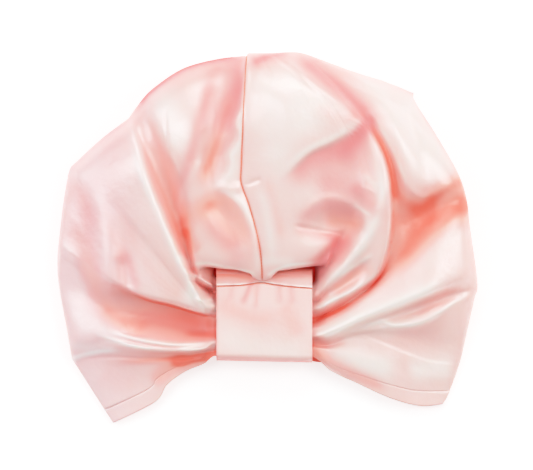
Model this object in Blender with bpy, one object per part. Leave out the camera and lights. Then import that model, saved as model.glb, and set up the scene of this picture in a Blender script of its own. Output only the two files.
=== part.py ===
"""A satin turban lying on its back, its front and gathered tab up.

Metres, +Z up, +Y towards the crown's top, +X to the viewer's right. Each half of the crown is one
sheet of cloth that starts in the tab, spreads over the front in folds, rolls round the rim and
lies flat underneath. The tables give the folds as shares of the named sizes.
"""

import math
from collections import namedtuple

import bpy
import numpy as np

# Sizes of the whole turban, measured from the middle of the tab's puckered seam
HALF_WIDTH = 0.157
CROWN_RISE = 0.173
FLAP_DROP = 0.1035
LOFT = 0.070

# Cloth
CLOTH_WALL = 0.0015
HEM_WALL = 0.002
HEM_WIDTH = 0.012
HEM_GATHER = 0.3
SEW_GAP = 0.0003

# The tab is a flat tube of cloth round the gathered front
TAB_WIDTH = 0.0715
TAB_HEIGHT = 0.057
STRIP_HEIGHT = 0.013
TAB_DEPTH = 0.018
TAB_LIFT = 0.012
TAB_WALL = 0.0018
TAB_OFFSET = -0.0023
TAB_TILT = math.radians(1.2)
TAB_PILLOW = 0.0012
TAB_TOP_ROUND = 0.009
TAB_FOOT_ROUND = 0.006

# How far the gathers go into the tab, and the room they keep from it
TUCK = 0.012
TUCK_CLEAR = 0.0008
SEAT_CLEAR = 0.0005
POCKET_CLEAR = 0.002

# The back layer's hem lies this far above the front's arch, and the halves meet along this seam
BACK_HEM_RISE = 0.0045
BACK_SEAM_SPAN = 0.045

# Shares of a fold's way from the tab to the rim: where it leaves the tab, where the lips over the
# strip end, where the hem has its full width, where dents stop and where the rim draws it in
ENTRY_REACH = 0.045
LIP_REACH = 0.13
HEM_SPREAD = 0.55
DENT_END = 0.97
RIM_REACH = 0.8

# Shares that shape the strip's climb, the rim's widest line, its turn under and its steepness
TOP_CLIMB = 0.6
RIM_LEVEL = 0.45
RIM_TURN = 0.5
RIM_DIVE = 1.6

# How finely the sheets are drawn
COLUMN_PITCH = 0.0078
PITCH_REACH = 0.7
FRONT_REACHES = (0, 0.045, 0.085, 0.12, 0.15, 0.19, 0.235, 0.28, 0.33, 0.39, 0.46, 0.53, 0.60, 0.66,
                 0.72, 0.77, 0.82, 0.87, 0.915, 0.96, 1)
TURN_STEPS = 3
BACK_SHARES = (0.12, 0.3, 0.5, 0.7, 0.88, 1)
BACK_AHEAD = 0.1
EVEN_PASSES = 2
TAB_COLUMNS = 7
TAB_LEGS = 5
TAB_STEP = 0.125
SHARP_ANGLE = math.radians(50)

# The tables' x runs from -1 to 1 over the whole width and their y from -1 at the lowest flap to 1
# at the crown's top, with 0 at the tab's seam. The tab's sides and its foot are at these shares.
TAB_SIDES = {"left": -0.2424, "right": 0.2131}
TAB_FOOT = -0.551

# A rim row: x and y of the outline, the height of the cloth that turns there, a share of LOFT, and
# whether it is a corner. The rows run from the hem's tip up to the centre seam.
Rim = namedtuple("Rim", "x y height corner")
RIMS = {
    "left": (
        Rim(-0.737, -1.000, 0.10, 1),
        Rim(-0.933, -0.536, 0.13, 1),
        Rim(-0.952, -0.362, 0.28, 0),
        Rim(-1.000, 0.056, 0.34, 0),
        Rim(-0.981, 0.294, 0.36, 0),
        Rim(-0.952, 0.468, 0.26, 0),
        Rim(-0.938, 0.511, 0.18, 1),
        Rim(-0.790, 0.632, 0.34, 0),
        Rim(-0.661, 0.719, 0.50, 1),
        Rim(-0.613, 0.779, 0.62, 0),
        Rim(-0.547, 0.844, 0.70, 0),
        Rim(-0.403, 0.931, 0.78, 0),
        Rim(-0.241, 0.972, 0.82, 0),
        Rim(-0.098, 0.987, 0.84, 0),
    ),
    "right": (
        Rim(0.838, -0.862, 0.10, 1),
        Rim(0.866, -0.783, 0.12, 0),
        Rim(0.919, -0.558, 0.15, 0),
        Rim(0.947, -0.370, 0.23, 0),
        Rim(0.986, -0.101, 0.31, 0),
        Rim(1.000, 0.013, 0.37, 0),
        Rim(0.962, 0.264, 0.46, 0),
        Rim(0.952, 0.351, 0.49, 0),
        Rim(0.914, 0.468, 0.54, 0),
        Rim(0.814, 0.632, 0.49, 0),
        Rim(0.704, 0.792, 0.26, 0),
        Rim(0.695, 0.829, 0.22, 1),
        Rim(0.556, 0.879, 0.50, 0),
        Rim(0.427, 0.913, 0.70, 0),
        Rim(0.279, 0.961, 0.84, 0),
        Rim(0.150, 1.000, 0.88, 0),
        Rim(0.020, 0.998, 0.86, 0),
        Rim(-0.096, 0.998, 0.84, 0),
    ),
}

# A fold that enters the tab's side. It goes in at tab, the share of the tab's height below its
# seam, and at pinch, the share of the tube's clear depth above its back. It ends on the outline at
# rim, a row of RIMS counted from 0. sharp is 1 for a crease. Each point of its course is its
# reach, the share of the way from tab to rim, its x and y shares and its z, a share of LOFT.
Fold = namedtuple("Fold", "name tab pinch rim sharp course")
# The hem's line of stitches, HEM_WIDTH from the mouth's edge, and roll higher at the tab.
Stitch = namedtuple("Stitch", "name tab pinch roll sharp")
# A fold that comes out above the tab, from under a lip of the crown. Its root is x, a share as
# above, and climb, from 0 behind the tab's strip to 1 at the tab's seam.
Puff = namedtuple("Puff", "name x climb rim sharp course")
# A fold that starts in the pocket beside the strip, at y, a share of STRIP_HEIGHT, and at sink,
# a share of TAB_DEPTH above the tab's back.
Pocket = namedtuple("Pocket", "name y sink rim sharp course")

SEAM_COURSE = ((0.13, -0.029, 0.100, 0.57), (0.25, -0.045, 0.203, 0.66), (0.42, -0.088, 0.346, 0.72),
               (0.52, -0.124, 0.437, 0.75), (0.60, -0.124, 0.498, 0.78), (0.83, -0.110, 0.801, 0.88))

FOLDS = {
    "left": (
        Fold("mouth_edge", 0.97, 0.45, 0, 0, (
            (0.16, -0.298, -0.565, 0.17), (0.36, -0.384, -0.620, 0.15), (0.58, -0.475, -0.717, 0.14),
            (0.80, -0.537, -0.848, 0.11))),
        Stitch("hem_stitch", 0.91, 0.50, 0.05, 0),
        Fold("lower_crease", 0.84, 0.25, 1.0, 1, (
            (0.15, -0.308, -0.478, 0.19), (0.35, -0.418, -0.498, 0.18), (0.60, -0.585, -0.504, 0.19),
            (0.82, -0.761, -0.500, 0.17))),
        Fold("lower_ridge", 0.77, 0.75, 1.9, 0, (
            (0.15, -0.308, -0.453, 0.36), (0.35, -0.465, -0.449, 0.39), (0.60, -0.661, -0.420, 0.39),
            (0.82, -0.809, -0.355, 0.36))),
        Fold("lower_valley", 0.60, 0.05, 2.7, 0, (
            (0.15, -0.313, -0.326, 0.17), (0.35, -0.456, -0.283, 0.18), (0.60, -0.618, -0.217, 0.23),
            (0.82, -0.800, -0.130, 0.34))),
        Fold("lapel_under", 0.46, 0.30, 3.3, 0, (
            (0.15, -0.313, -0.208, 0.27), (0.35, -0.456, -0.145, 0.29), (0.60, -0.594, -0.092, 0.37),
            (0.82, -0.776, 0.009, 0.47))),
        Fold("lapel_edge", 0.42, 0.65, 3.5, 0, (
            (0.15, -0.313, -0.203, 0.43), (0.35, -0.456, -0.138, 0.49), (0.60, -0.594, -0.080, 0.53),
            (0.82, -0.766, 0.043, 0.53))),
        Fold("side_panel", 0.38, 0.75, 6, 0, (
            (0.15, -0.317, -0.152, 0.50), (0.35, -0.456, 0.056, 0.60), (0.60, -0.656, 0.273, 0.62),
            (0.85, -0.847, 0.433, 0.48))),
        Fold("main_ridge", 0.30, 0.95, 8, 0, (
            (0.15, -0.308, -0.115, 0.54), (0.35, -0.403, 0.091, 0.67), (0.60, -0.523, 0.338, 0.75),
            (0.83, -0.618, 0.584, 0.72))),
        Fold("main_valley", 0.10, 0.10, 8.6, 0.6, (
            (0.15, -0.322, 0.000, 0.27), (0.35, -0.382, 0.117, 0.35), (0.60, -0.456, 0.338, 0.50),
            (0.83, -0.566, 0.606, 0.60))),
        Fold("pleat_ridge", 0.02, 0.60, 9.3, 0, (
            (0.15, -0.317, 0.026, 0.40), (0.35, -0.370, 0.134, 0.54), (0.60, -0.408, 0.368, 0.71),
            (0.83, -0.499, 0.671, 0.76))),
        Pocket("pocket_floor", 0.55, 0.15, 10.0, 0, (
            (0.13, -0.327, 0.074, 0.45), (0.25, -0.356, 0.139, 0.63), (0.60, -0.384, 0.411, 0.78),
            (0.83, -0.456, 0.706, 0.80))),
        Pocket("pocket_back", 1.15, 0.20, 10.8, 0, (
            (0.13, -0.294, 0.082, 0.55), (0.25, -0.298, 0.147, 0.67), (0.60, -0.356, 0.446, 0.82),
            (0.83, -0.399, 0.745, 0.85))),
        Puff("puff_flank", -0.19, 0.00, 11.4, 0, (
            (0.13, -0.227, 0.080, 0.57), (0.25, -0.227, 0.147, 0.69), (0.60, -0.317, 0.468, 0.83),
            (0.83, -0.327, 0.762, 0.87))),
        Puff("puff_trough", -0.12, 0.10, 12.2, 0, (
            (0.13, -0.150, 0.068, 0.57), (0.25, -0.150, 0.143, 0.68), (0.60, -0.270, 0.470, 0.75),
            (0.83, -0.251, 0.753, 0.79))),
        Puff("puff_inner", -0.08, 0.45, 12.7, 0, (
            (0.13, -0.088, 0.062, 0.57), (0.25, -0.098, 0.160, 0.68), (0.60, -0.200, 0.480, 0.80),
            (0.83, -0.170, 0.770, 0.86))),
        Puff("centre_seam", -0.024, 1.00, 13, 0, SEAM_COURSE),
    ),
    "right": (
        Fold("mouth_edge", 0.97, 0.45, 0, 0, (
            (0.14, 0.298, -0.616, 0.17), (0.34, 0.427, -0.710, 0.15), (0.60, 0.589, -0.820, 0.14),
            (0.82, 0.728, -0.875, 0.11))),
        Stitch("hem_stitch", 0.91, 0.50, 0.07, 0),
        Fold("flap_belly", 0.85, 0.50, 1.5, 0, (
            (0.14, 0.298, -0.470, 0.25), (0.34, 0.418, -0.515, 0.26), (0.60, 0.594, -0.572, 0.23),
            (0.82, 0.752, -0.630, 0.18))),
        Fold("under_crease", 0.80, 0.20, 2.3, 0.6, (
            (0.14, 0.294, -0.432, 0.19), (0.34, 0.403, -0.370, 0.22), (0.60, 0.561, -0.345, 0.26),
            (0.82, 0.752, -0.384, 0.24))),
        Fold("swoosh", 0.76, 0.30, 4.3, 0, (
            (0.14, 0.294, -0.406, 0.25), (0.34, 0.413, -0.333, 0.29), (0.60, 0.623, -0.283, 0.37),
            (0.82, 0.814, -0.188, 0.41))),
        Fold("low_valley", 0.73, 0.40, 4.8, 0, (
            (0.14, 0.294, -0.388, 0.31), (0.34, 0.427, -0.300, 0.32), (0.60, 0.642, -0.195, 0.31),
            (0.82, 0.823, -0.094, 0.36))),
        Fold("low_ridge", 0.68, 0.85, 5.3, 0, (
            (0.14, 0.294, -0.333, 0.43), (0.34, 0.432, -0.243, 0.52), (0.60, 0.642, -0.116, 0.57),
            (0.82, 0.823, 0.004, 0.57))),
        Fold("side_panel", 0.58, 0.75, 6.6, 0, (
            (0.14, 0.294, -0.268, 0.40), (0.34, 0.432, -0.152, 0.51), (0.60, 0.642, 0.043, 0.59),
            (0.82, 0.828, 0.195, 0.61))),
        Fold("wide_valley", 0.50, 0.10, 8.4, 0, (
            (0.14, 0.296, -0.213, 0.22), (0.34, 0.434, -0.103, 0.26), (0.55, 0.594, 0.091, 0.30),
            (0.73, 0.750, 0.310, 0.37), (0.79, 0.780, 0.378, 0.56), (0.90, 0.842, 0.472, 0.62))),
        Fold("upper_panel", 0.48, 0.08, 11, 0, (
            (0.14, 0.296, -0.204, 0.215), (0.34, 0.431, -0.095, 0.25), (0.55, 0.580, 0.082, 0.29),
            (0.73, 0.685, 0.325, 0.38), (0.79, 0.690, 0.400, 0.63), (0.90, 0.671, 0.640, 0.65))),
        Fold("panel_edge", 0.465, 0.06, 14.3, 0, (
            (0.14, 0.296, -0.199, 0.21), (0.34, 0.428, -0.090, 0.24), (0.55, 0.566, 0.074, 0.28),
            (0.70, 0.630, 0.303, 0.39), (0.78, 0.613, 0.489, 0.67), (0.90, 0.451, 0.723, 0.79))),
        Fold("narrow_valley", 0.45, 0.04, 14.8, 0.5, (
            (0.14, 0.296, -0.194, 0.205), (0.34, 0.425, -0.085, 0.23), (0.55, 0.557, 0.065, 0.27),
            (0.70, 0.610, 0.303, 0.37), (0.80, 0.575, 0.541, 0.54), (0.90, 0.424, 0.727, 0.69))),
        Fold("hood_under", 0.39, 0.35, 15, 0, (
            (0.14, 0.294, -0.174, 0.31), (0.34, 0.420, -0.062, 0.39), (0.55, 0.542, 0.071, 0.47),
            (0.70, 0.590, 0.303, 0.63), (0.80, 0.552, 0.541, 0.74), (0.90, 0.396, 0.745, 0.81))),
        Fold("hood_ridge", 0.31, 0.80, 15.3, 0, (
            (0.14, 0.294, -0.123, 0.47), (0.34, 0.415, -0.030, 0.57), (0.55, 0.538, 0.085, 0.65),
            (0.70, 0.582, 0.303, 0.79), (0.80, 0.543, 0.541, 0.85), (0.90, 0.380, 0.760, 0.89))),
        Fold("hood_hollow", 0.22, 0.45, 15.6, 0, (
            (0.14, 0.294, -0.050, 0.42), (0.34, 0.403, 0.045, 0.52), (0.55, 0.495, 0.150, 0.69),
            (0.70, 0.523, 0.346, 0.85), (0.80, 0.489, 0.563, 0.90), (0.90, 0.330, 0.779, 0.92))),
        Fold("brow_ridge", 0.12, 0.95, 15.9, 0, (
            (0.14, 0.294, 0.020, 0.54), (0.34, 0.392, 0.112, 0.68), (0.55, 0.465, 0.210, 0.78),
            (0.70, 0.475, 0.370, 0.87), (0.80, 0.435, 0.563, 0.92), (0.90, 0.280, 0.790, 0.94))),
        Pocket("pocket_floor", 0.40, 0.15, 16.1, 0, (
            (0.13, 0.284, 0.074, 0.37), (0.30, 0.360, 0.182, 0.58), (0.45, 0.398, 0.262, 0.69),
            (0.60, 0.410, 0.390, 0.82), (0.80, 0.370, 0.628, 0.95), (0.90, 0.212, 0.844, 0.93))),
        Pocket("pocket_back", 1.15, 0.20, 16.3, 0, (
            (0.13, 0.284, 0.113, 0.60), (0.22, 0.303, 0.182, 0.67), (0.32, 0.300, 0.250, 0.67),
            (0.50, 0.300, 0.380, 0.83), (0.80, 0.250, 0.671, 0.97), (0.90, 0.146, 0.866, 0.93))),
        Puff("puff_outer", 0.15, 0.00, 16.5, 0, (
            (0.13, 0.169, 0.090, 0.59), (0.22, 0.184, 0.152, 0.70), (0.32, 0.184, 0.228, 0.72),
            (0.50, 0.169, 0.390, 0.86), (0.80, 0.110, 0.690, 0.99), (0.90, 0.060, 0.870, 0.92))),
        Puff("puff_inner", 0.05, 0.30, 16.75, 0, (
            (0.13, 0.060, 0.076, 0.59), (0.22, 0.065, 0.150, 0.68), (0.32, 0.055, 0.240, 0.74),
            (0.50, 0.030, 0.400, 0.82), (0.80, -0.007, 0.710, 0.93), (0.90, -0.021, 0.880, 0.89))),
        Puff("centre_seam", -0.024, 1.00, 17, 0, SEAM_COURSE),
    ),
}

# A dent or, with a negative depth, a swell that crosses the folds. long and short are the distances
# to where it fades, shares of HALF_WIDTH, turn is the long one's direction and depth a share of LOFT.
Dent = namedtuple("Dent", "name x y long short turn depth")
DENTS = {
    "left": (
        Dent("flank_trough", -0.895, 0.110, 0.24, 0.07, 84, 0.07),
        Dent("flank_swell", -0.760, 0.100, 0.20, 0.08, 90, -0.05),
        Dent("lapel_stop", -0.672, 0.080, 0.16, 0.04, 86, 0.06),
        Dent("puff_dip", -0.215, 0.305, 0.14, 0.05, -38, 0.05),
    ),
    "right": (
        Dent("upper_dimple", 0.330, 0.515, 0.24, 0.13, 32, 0.09),
        Dent("lower_dimple", 0.320, 0.262, 0.15, 0.06, 8, 0.07),
        Dent("flap_hollow", 0.730, -0.430, 0.18, 0.07, -10, 0.03),
        Dent("panel_swell", 0.720, 0.520, 0.16, 0.12, 60, -0.05),
    ),
}

SATIN = (0.86, 0.58, 0.55, 1)
SATIN_ROUGHNESS = 0.32
SATIN_SHEEN = 0.4
TINTS = {"crown": 1.0, "hem": 0.96, "front_tab": 1.02, "tab_strip": 0.98}

SIDES = {"left": -1, "right": 1}


def ease(share):
    """0 to 1 with a level start and end."""
    share = np.clip(share, 0, 1)
    return share * share * (3 - 2 * share)


def place(x, y, z):
    """A point in metres from its shares of the named sizes."""
    sides = [-HALF_WIDTH, tab_side("left"), tab_side("right"), HALF_WIDTH]
    wide = np.interp(x, [-1, *TAB_SIDES.values(), 1], sides)
    high = np.interp(y, [-1, TAB_FOOT, 0, 1], [-FLAP_DROP, -TAB_HEIGHT, 0, CROWN_RISE])
    return np.array([wide, high, z * LOFT])


def hermite(knots, points, at, before, after):
    """The cubic through points at knots, with its slopes just before and just after each."""
    knots = np.asarray(knots, float)
    span = np.clip(np.searchsorted(knots, at, side="right") - 1, 0, len(knots) - 2)
    width = (knots[span + 1] - knots[span]).reshape(-1, *[1] * (points.ndim - 1))
    t = (np.asarray(at) - knots[span]).reshape(width.shape) / width
    return (
        (1 + 2 * t) * (1 - t) ** 2 * points[span]
        + t * (1 - t) ** 2 * width * after[span]
        + t * t * (3 - 2 * t) * points[span + 1]
        + t * t * (t - 1) * width * before[span + 1]
    )


def through(knots, points, at, corners=None, last=None):
    """A smooth curve through points, with corners where corners is 1 and last as its end slope."""
    knots = np.asarray(knots, float)
    step = np.diff(points, axis=0) / np.diff(knots)[:, None]
    slope = np.empty_like(points)
    slope[0] = step[0]
    slope[-1] = step[-1] if last is None else last
    slope[1:-1] = (points[2:] - points[:-2]) / (knots[2:] - knots[:-2])[:, None]
    before = slope.copy()
    after = slope.copy()
    if corners is not None:
        turn = np.flatnonzero(np.asarray(corners)[1:-1]) + 1
        before[turn] = step[turn - 1]
        after[turn] = step[turn]
    return hermite(knots, points, at, before, after)


def across(rows, at, sharp):
    """Rows of points joined into a sheet that never swings past a row; sharp rows are creases."""
    step = np.diff(rows, axis=0)
    one_way = step[:-1] * step[1:] > 0
    both = np.where(one_way, step[:-1] + step[1:], 1)
    slope = np.empty_like(rows)
    slope[0] = step[0]
    slope[-1] = step[-1]
    slope[1:-1] = np.where(one_way, 2 * step[:-1] * step[1:] / both, 0)
    sharp = np.asarray(sharp, float)[1:-1, None, None]
    before = slope.copy()
    after = slope.copy()
    before[1:-1] += (step[:-1] - slope[1:-1]) * sharp
    after[1:-1] += (step[1:] - slope[1:-1]) * sharp
    return hermite(np.arange(len(rows)), rows, at, before, after)


def tilted(x, y):
    """The y of a point of the tab, whose right side hangs a little lower."""
    return y - (x - TAB_OFFSET) * math.tan(TAB_TILT)


def tab_face(climb):
    """y and z just outside the tab's strip, from behind its top, 0, over it to the seam, 1."""
    middle = STRIP_HEIGHT - TAB_TOP_ROUND
    clear = SEAT_CLEAR + CLOTH_WALL
    angle = np.minimum(climb / TOP_CLIMB, 1) * math.pi / 2
    y = middle + (TAB_TOP_ROUND + POCKET_CLEAR * (1 - climb) + clear) * np.cos(angle)
    y = y - np.maximum(climb - TOP_CLIMB, 0) / (1 - TOP_CLIMB) * (middle - SEAT_CLEAR)
    z = TAB_LIFT + TAB_DEPTH / 2 + (TAB_DEPTH / 2 + clear) * np.sin(angle)
    return y, z


def tab_side(side):
    return TAB_OFFSET + SIDES[side] * TAB_WIDTH / 2


def root_points(row, side):
    """The (reach, point) pairs where a row starts, in, behind or beside the tab."""
    if isinstance(row, Puff):
        x = place(row.x, 0, 0)[0]
        y, z = tab_face(row.climb)
        return [(0.0, np.array([x, tilted(x, y), z]))]
    if isinstance(row, Pocket):
        x = tab_side(side) + SIDES[side] * POCKET_CLEAR
        z = TAB_LIFT + row.sink * TAB_DEPTH
        return [(0.0, np.array([x, tilted(x, row.y * STRIP_HEIGHT), z]))]
    clear = TAB_WALL + TUCK_CLEAR
    low = TAB_LIFT + clear + CLOTH_WALL
    high = TAB_LIFT + TAB_DEPTH - clear
    z = low + row.pinch * (high - low)
    y = -row.tab * (TAB_HEIGHT - clear)
    inside = tab_side(side) - SIDES[side] * TUCK
    outside = tab_side(side) + SIDES[side] * TUCK_CLEAR
    return [
        (0.0, np.array([inside, tilted(inside, y), z])),
        (ENTRY_REACH, np.array([outside, tilted(outside, y), z])),
    ]


def rim_points(side, at):
    """x, y and turning height of the outline at each of the rim positions."""
    rims = RIMS[side]
    points = np.array([[*place(rim.x, rim.y, 0)[:2], rim.height * LOFT] for rim in rims])
    return through(np.arange(len(rims)), points, at, corners=[rim.corner for rim in rims])


def rim_top(outline):
    """Rim points with the height of the outline's widest line as z."""
    return outline * np.array([1, 1, RIM_LEVEL])


def rim_place(row, side):
    """Where a row ends on the outline. The hem's stitches end HEM_WIDTH from the tip."""
    if not isinstance(row, Stitch):
        return row.rim
    places = np.linspace(0, 3, 301)
    outline = rim_points(side, places)[:, :2]
    walked = np.cumsum(np.linalg.norm(np.diff(outline, axis=0), axis=1))
    return np.interp(HEM_WIDTH, walked, places[1:])


def stitch_course(row, side):
    """The hem's stitches: the mouth's edge moved HEM_WIDTH into the cloth."""
    edge = FOLDS[side][0]
    points = np.array([place(x, y, z) for _, x, y, z in edge.course])
    tip = rim_points(side, np.array([0.0]))[0, :2]
    way = np.diff(np.vstack([points[:, :2], tip]), axis=0)
    into = np.stack([way[:, 1], -way[:, 0]], axis=1) * -SIDES[side]
    into /= np.linalg.norm(into, axis=1, keepdims=True)
    reaches = [reach for reach, *_ in edge.course]
    gather = HEM_GATHER + (1 - HEM_GATHER) * ease(np.array(reaches) / HEM_SPREAD)
    points[:, :2] += into * HEM_WIDTH * gather[:, None]
    points[:, 2] += row.roll * LOFT * (1 - np.array(reaches))
    return list(zip(reaches, points))


def row_curve(row, side, reaches):
    """A row's points at the given reaches, arriving at the rim straight down."""
    pairs = root_points(row, side)
    if isinstance(row, Stitch):
        pairs += stitch_course(row, side)
    else:
        pairs += [(reach, place(x, y, z)) for reach, x, y, z in row.course]
    pairs.append((1.0, rim_top(rim_points(side, np.array([rim_place(row, side)])))[0]))
    knots = [reach for reach, _ in pairs]
    points = np.array([point for _, point in pairs])
    drop = (points[-1, 2] - points[-2, 2]) / (knots[-1] - knots[-2])
    down = np.array([0, 0, min(RIM_DIVE * drop, 0)])
    return through(knots, points, reaches, last=down)


def column_places(side):
    """Where the columns run: one on each row and more between rows that lie far apart."""
    rows = FOLDS[side]
    middle = np.array([row_curve(row, side, np.array([PITCH_REACH]))[0] for row in rows])
    at = [0.0]
    for index, width in enumerate(np.linalg.norm(np.diff(middle, axis=0), axis=1)):
        count = max(1, round(width / COLUMN_PITCH))
        at += [index + (step + 1) / count for step in range(count)]
    return np.array(at)


def dented(points, side):
    """The front with its dents pressed in."""
    points = points.copy()
    for dent in DENTS[side]:
        centre = place(dent.x, dent.y, 0)
        turn = math.radians(dent.turn)
        off = points[..., :2] - centre[:2]
        along = off[..., 0] * math.cos(turn) + off[..., 1] * math.sin(turn)
        aside = off[..., 1] * math.cos(turn) - off[..., 0] * math.sin(turn)
        reach = (along / dent.long) ** 2 + (aside / dent.short) ** 2
        points[..., 2] -= dent.depth * LOFT * np.exp(-reach / HALF_WIDTH**2)
    return points


def front_grid(side, at):
    """The front of one half: columns across, reaches out from the tab."""
    rows = FOLDS[side]
    reaches = np.array(FRONT_REACHES)
    knots = np.arange(len(rows))
    curves = np.array([row_curve(row, side, reaches) for row in rows])
    grid = across(curves, at, [row.sharp for row in rows])
    inner = (reaches > LIP_REACH) & (reaches < DENT_END)
    grid[:, inner] = dented(grid, side)[:, inner]
    rims = np.interp(at, knots, [rim_place(row, side) for row in rows])
    outline = rim_points(side, rims)
    drawn = ease((reaches - RIM_REACH) / (1 - RIM_REACH))
    grid += (rim_top(outline) - grid[:, -1])[:, None] * drawn[None, :, None]
    first = next(index for index, row in enumerate(rows) if isinstance(row, Puff))
    puffs = [row for row in rows if isinstance(row, Puff)]
    climb = np.interp(at, knots[first:], [row.climb for row in puffs])
    y, z = tab_face(climb)
    seated = np.stack([grid[:, 0, 0], tilted(grid[:, 0, 0], y), z], axis=1)
    shift = np.where((at >= first)[:, None], seated - grid[:, 0], 0)
    fade = ease((LIP_REACH - reaches) / (LIP_REACH - ENTRY_REACH))
    grid += shift[:, None] * fade[None, :, None]
    return grid, outline


def back_hem(side, shares):
    """The back layer's hem, from the tip to the centre, just behind the front arch."""
    edge = FOLDS[side][0]
    tip = rim_points(side, np.array([0.0]))[0, :2]
    points = [tip] + [place(x, y, z)[:2] for _, x, y, z in reversed(edge.course)]
    points.append(np.array([TAB_OFFSET, -TAB_HEIGHT]))
    points = np.array(points)
    knots = np.append(1 - np.array([1.0, *[reach for reach, *_ in reversed(edge.course)]]), 1.0)
    hem = through(knots, points, shares)
    hem[:, 1] += BACK_HEM_RISE * ease(shares / knots[1])
    return hem


def back_course(side, start, span, shares):
    """Points on the floor from start to the centre-back seam; span is the row's share of it."""
    hem = back_hem(side, np.array([0.0, 1.0]))
    bend = back_hem(side, shares) - hem[0] - (hem[1] - hem[0]) * shares[:, None]
    end = hem[1] + np.array([0, BACK_SEAM_SPAN * span])
    line = start + (end - start) * shares[:, None]
    hem_span = HEM_WIDTH / BACK_SEAM_SPAN
    return line + bend * (1 - ease((span - hem_span) / (1 - hem_span)))


def back_spans(side, at):
    """Each column's share of the way up the centre-back seam."""
    return np.interp(at, [0, 1, len(FOLDS[side]) - 1], [0, HEM_WIDTH / BACK_SEAM_SPAN, 1])


def half_grid(side):
    """The whole outer face of one half, and the columns' places."""
    at = column_places(side)
    front, outline = front_grid(side, at)
    spans = back_spans(side, at)
    angles = np.linspace(0, math.pi / 2, TURN_STEPS + 1)[1:, None]
    columns = []
    for column, rim, span in zip(front, outline, spans):
        start = rim[:2]
        ahead = back_course(side, start, span, np.array([BACK_AHEAD]))[0] - start
        inward = ahead / np.linalg.norm(ahead)
        turn_xy = start + inward * rim[2] * RIM_TURN * (1 - np.cos(angles))
        turn_z = rim[2] * RIM_LEVEL * (1 - np.sin(angles))
        back = back_course(side, turn_xy[-1], span, np.array(BACK_SHARES))
        flat = np.zeros((len(back), 1))
        columns.append(np.concatenate([column, np.hstack([turn_xy, turn_z]), np.hstack([back, flat])]))
    return np.array(columns), at


def face_normals(grid, side):
    """Outward directions of a half's outer face, evened out and square to the floor."""
    normals = np.cross(np.gradient(grid, axis=1), np.gradient(grid, axis=0)) * SIDES[side]
    for _ in range(EVEN_PASSES):
        normals /= np.linalg.norm(normals, axis=2, keepdims=True) + 1e-12
        spread = np.pad(normals, ((1, 1), (1, 1), (0, 0)), mode="edge")
        normals = (
            2 * normals + spread[:-2, 1:-1] + spread[2:, 1:-1] + spread[1:-1, :-2] + spread[1:-1, 2:]
        )
    normals[:, -len(BACK_SHARES) - 1:] = (0, 0, -1)
    return normals / np.linalg.norm(normals, axis=2, keepdims=True)


def parted(edge, inner):
    """A sewn edge moved into its sheet by half the sewing gap, square to the seam."""
    along = np.gradient(edge, axis=0)
    along /= np.linalg.norm(along, axis=1, keepdims=True)
    into = inner - edge
    into -= (into * along).sum(axis=1, keepdims=True) * along
    return edge + into / np.linalg.norm(into, axis=1, keepdims=True) * SEW_GAP / 2


def pulled(grid, side, first, last):
    """The grid with its sewn edges drawn back by half the sewing gap, the centre back's too."""
    grid = grid.copy()
    edges = [(0, 1)] * first + [(-1, -2)] * last
    for edge, inner in edges:
        grid[edge] = parted(grid[edge], grid[inner])
    grid[:, -1, 0] += SIDES[side] * SEW_GAP / 2
    return grid


def satin(name, tint):
    """A satin material: the part's pink, a soft gloss and a little sheen."""
    material = bpy.data.materials.new(name)
    material.use_nodes = True
    shader = material.node_tree.nodes["Principled BSDF"]
    shader.inputs["Base Color"].default_value = [*(channel * tint for channel in SATIN[:3]), 1]
    shader.inputs["Roughness"].default_value = SATIN_ROUGHNESS
    shader.inputs["Metallic"].default_value = 0
    shader.inputs["Sheen Weight"].default_value = SATIN_SHEEN
    return material


def add_object(name, points, faces, parent, tint):
    """A smooth-shaded object with its own material, under the turban's empty."""
    mesh = bpy.data.meshes.new(name)
    mesh.from_pydata([tuple(point) for point in points], [], [tuple(face) for face in faces])
    mesh.validate()
    mesh.shade_smooth()
    mesh.set_sharp_from_angle(angle=SHARP_ANGLE)
    mesh.materials.append(satin(name + "_satin", tint))
    obj = bpy.data.objects.new(name, mesh)
    obj.parent = parent
    bpy.context.scene.collection.objects.link(obj)
    return obj


def walled(outer, inner, flip):
    """Points and triangles of a closed wall between two grids of the same shape."""
    across_count, along_count = outer.shape[:2]
    layer = across_count * along_count
    points = np.concatenate([outer.reshape(-1, 3), inner.reshape(-1, 3)])
    faces = []
    for i in range(across_count - 1):
        for j in range(along_count - 1):
            a, b = i * along_count + j, (i + 1) * along_count + j
            c, d = b + 1, a + 1
            short = np.linalg.norm(points[a] - points[c]) <= np.linalg.norm(points[b] - points[d])
            pair = ((a, b, c), (a, c, d)) if short else ((a, b, d), (b, c, d))
            faces += pair
            faces += [tuple(layer + corner for corner in reversed(face)) for face in pair]
    border = [j for j in range(along_count)]
    border += [i * along_count + along_count - 1 for i in range(1, across_count)]
    border += [(across_count - 1) * along_count + j for j in range(along_count - 2, -1, -1)]
    border += [i * along_count for i in range(across_count - 2, 0, -1)]
    for here, after in zip(border, border[1:] + border[:1]):
        faces += [(here, after, layer + after), (here, layer + after, layer + here)]
    if flip:
        faces = [face[::-1] for face in faces]
    return points, faces


def make_half(side, grid, at, normals, parent):
    """The crown and the hem of one half: the same sheet, parted at the hem's stitches."""
    split = int(np.flatnonzero(np.isclose(at, 1))[0])
    cuts = {
        "hem": (slice(0, split + 1), HEM_WALL, False, True),
        "crown": (slice(split, None), CLOTH_WALL, True, True),
    }
    for piece, (columns, wall, first, last) in cuts.items():
        outer = pulled(grid[columns], side, first, last)
        inner = pulled(grid[columns] - normals[columns] * wall, side, first, last)
        inner[..., 2] = np.maximum(inner[..., 2], wall)
        points, faces = walled(outer, inner, side == "right")
        add_object(f"{piece}_{side}", points, faces, parent, TINTS[piece])


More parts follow.
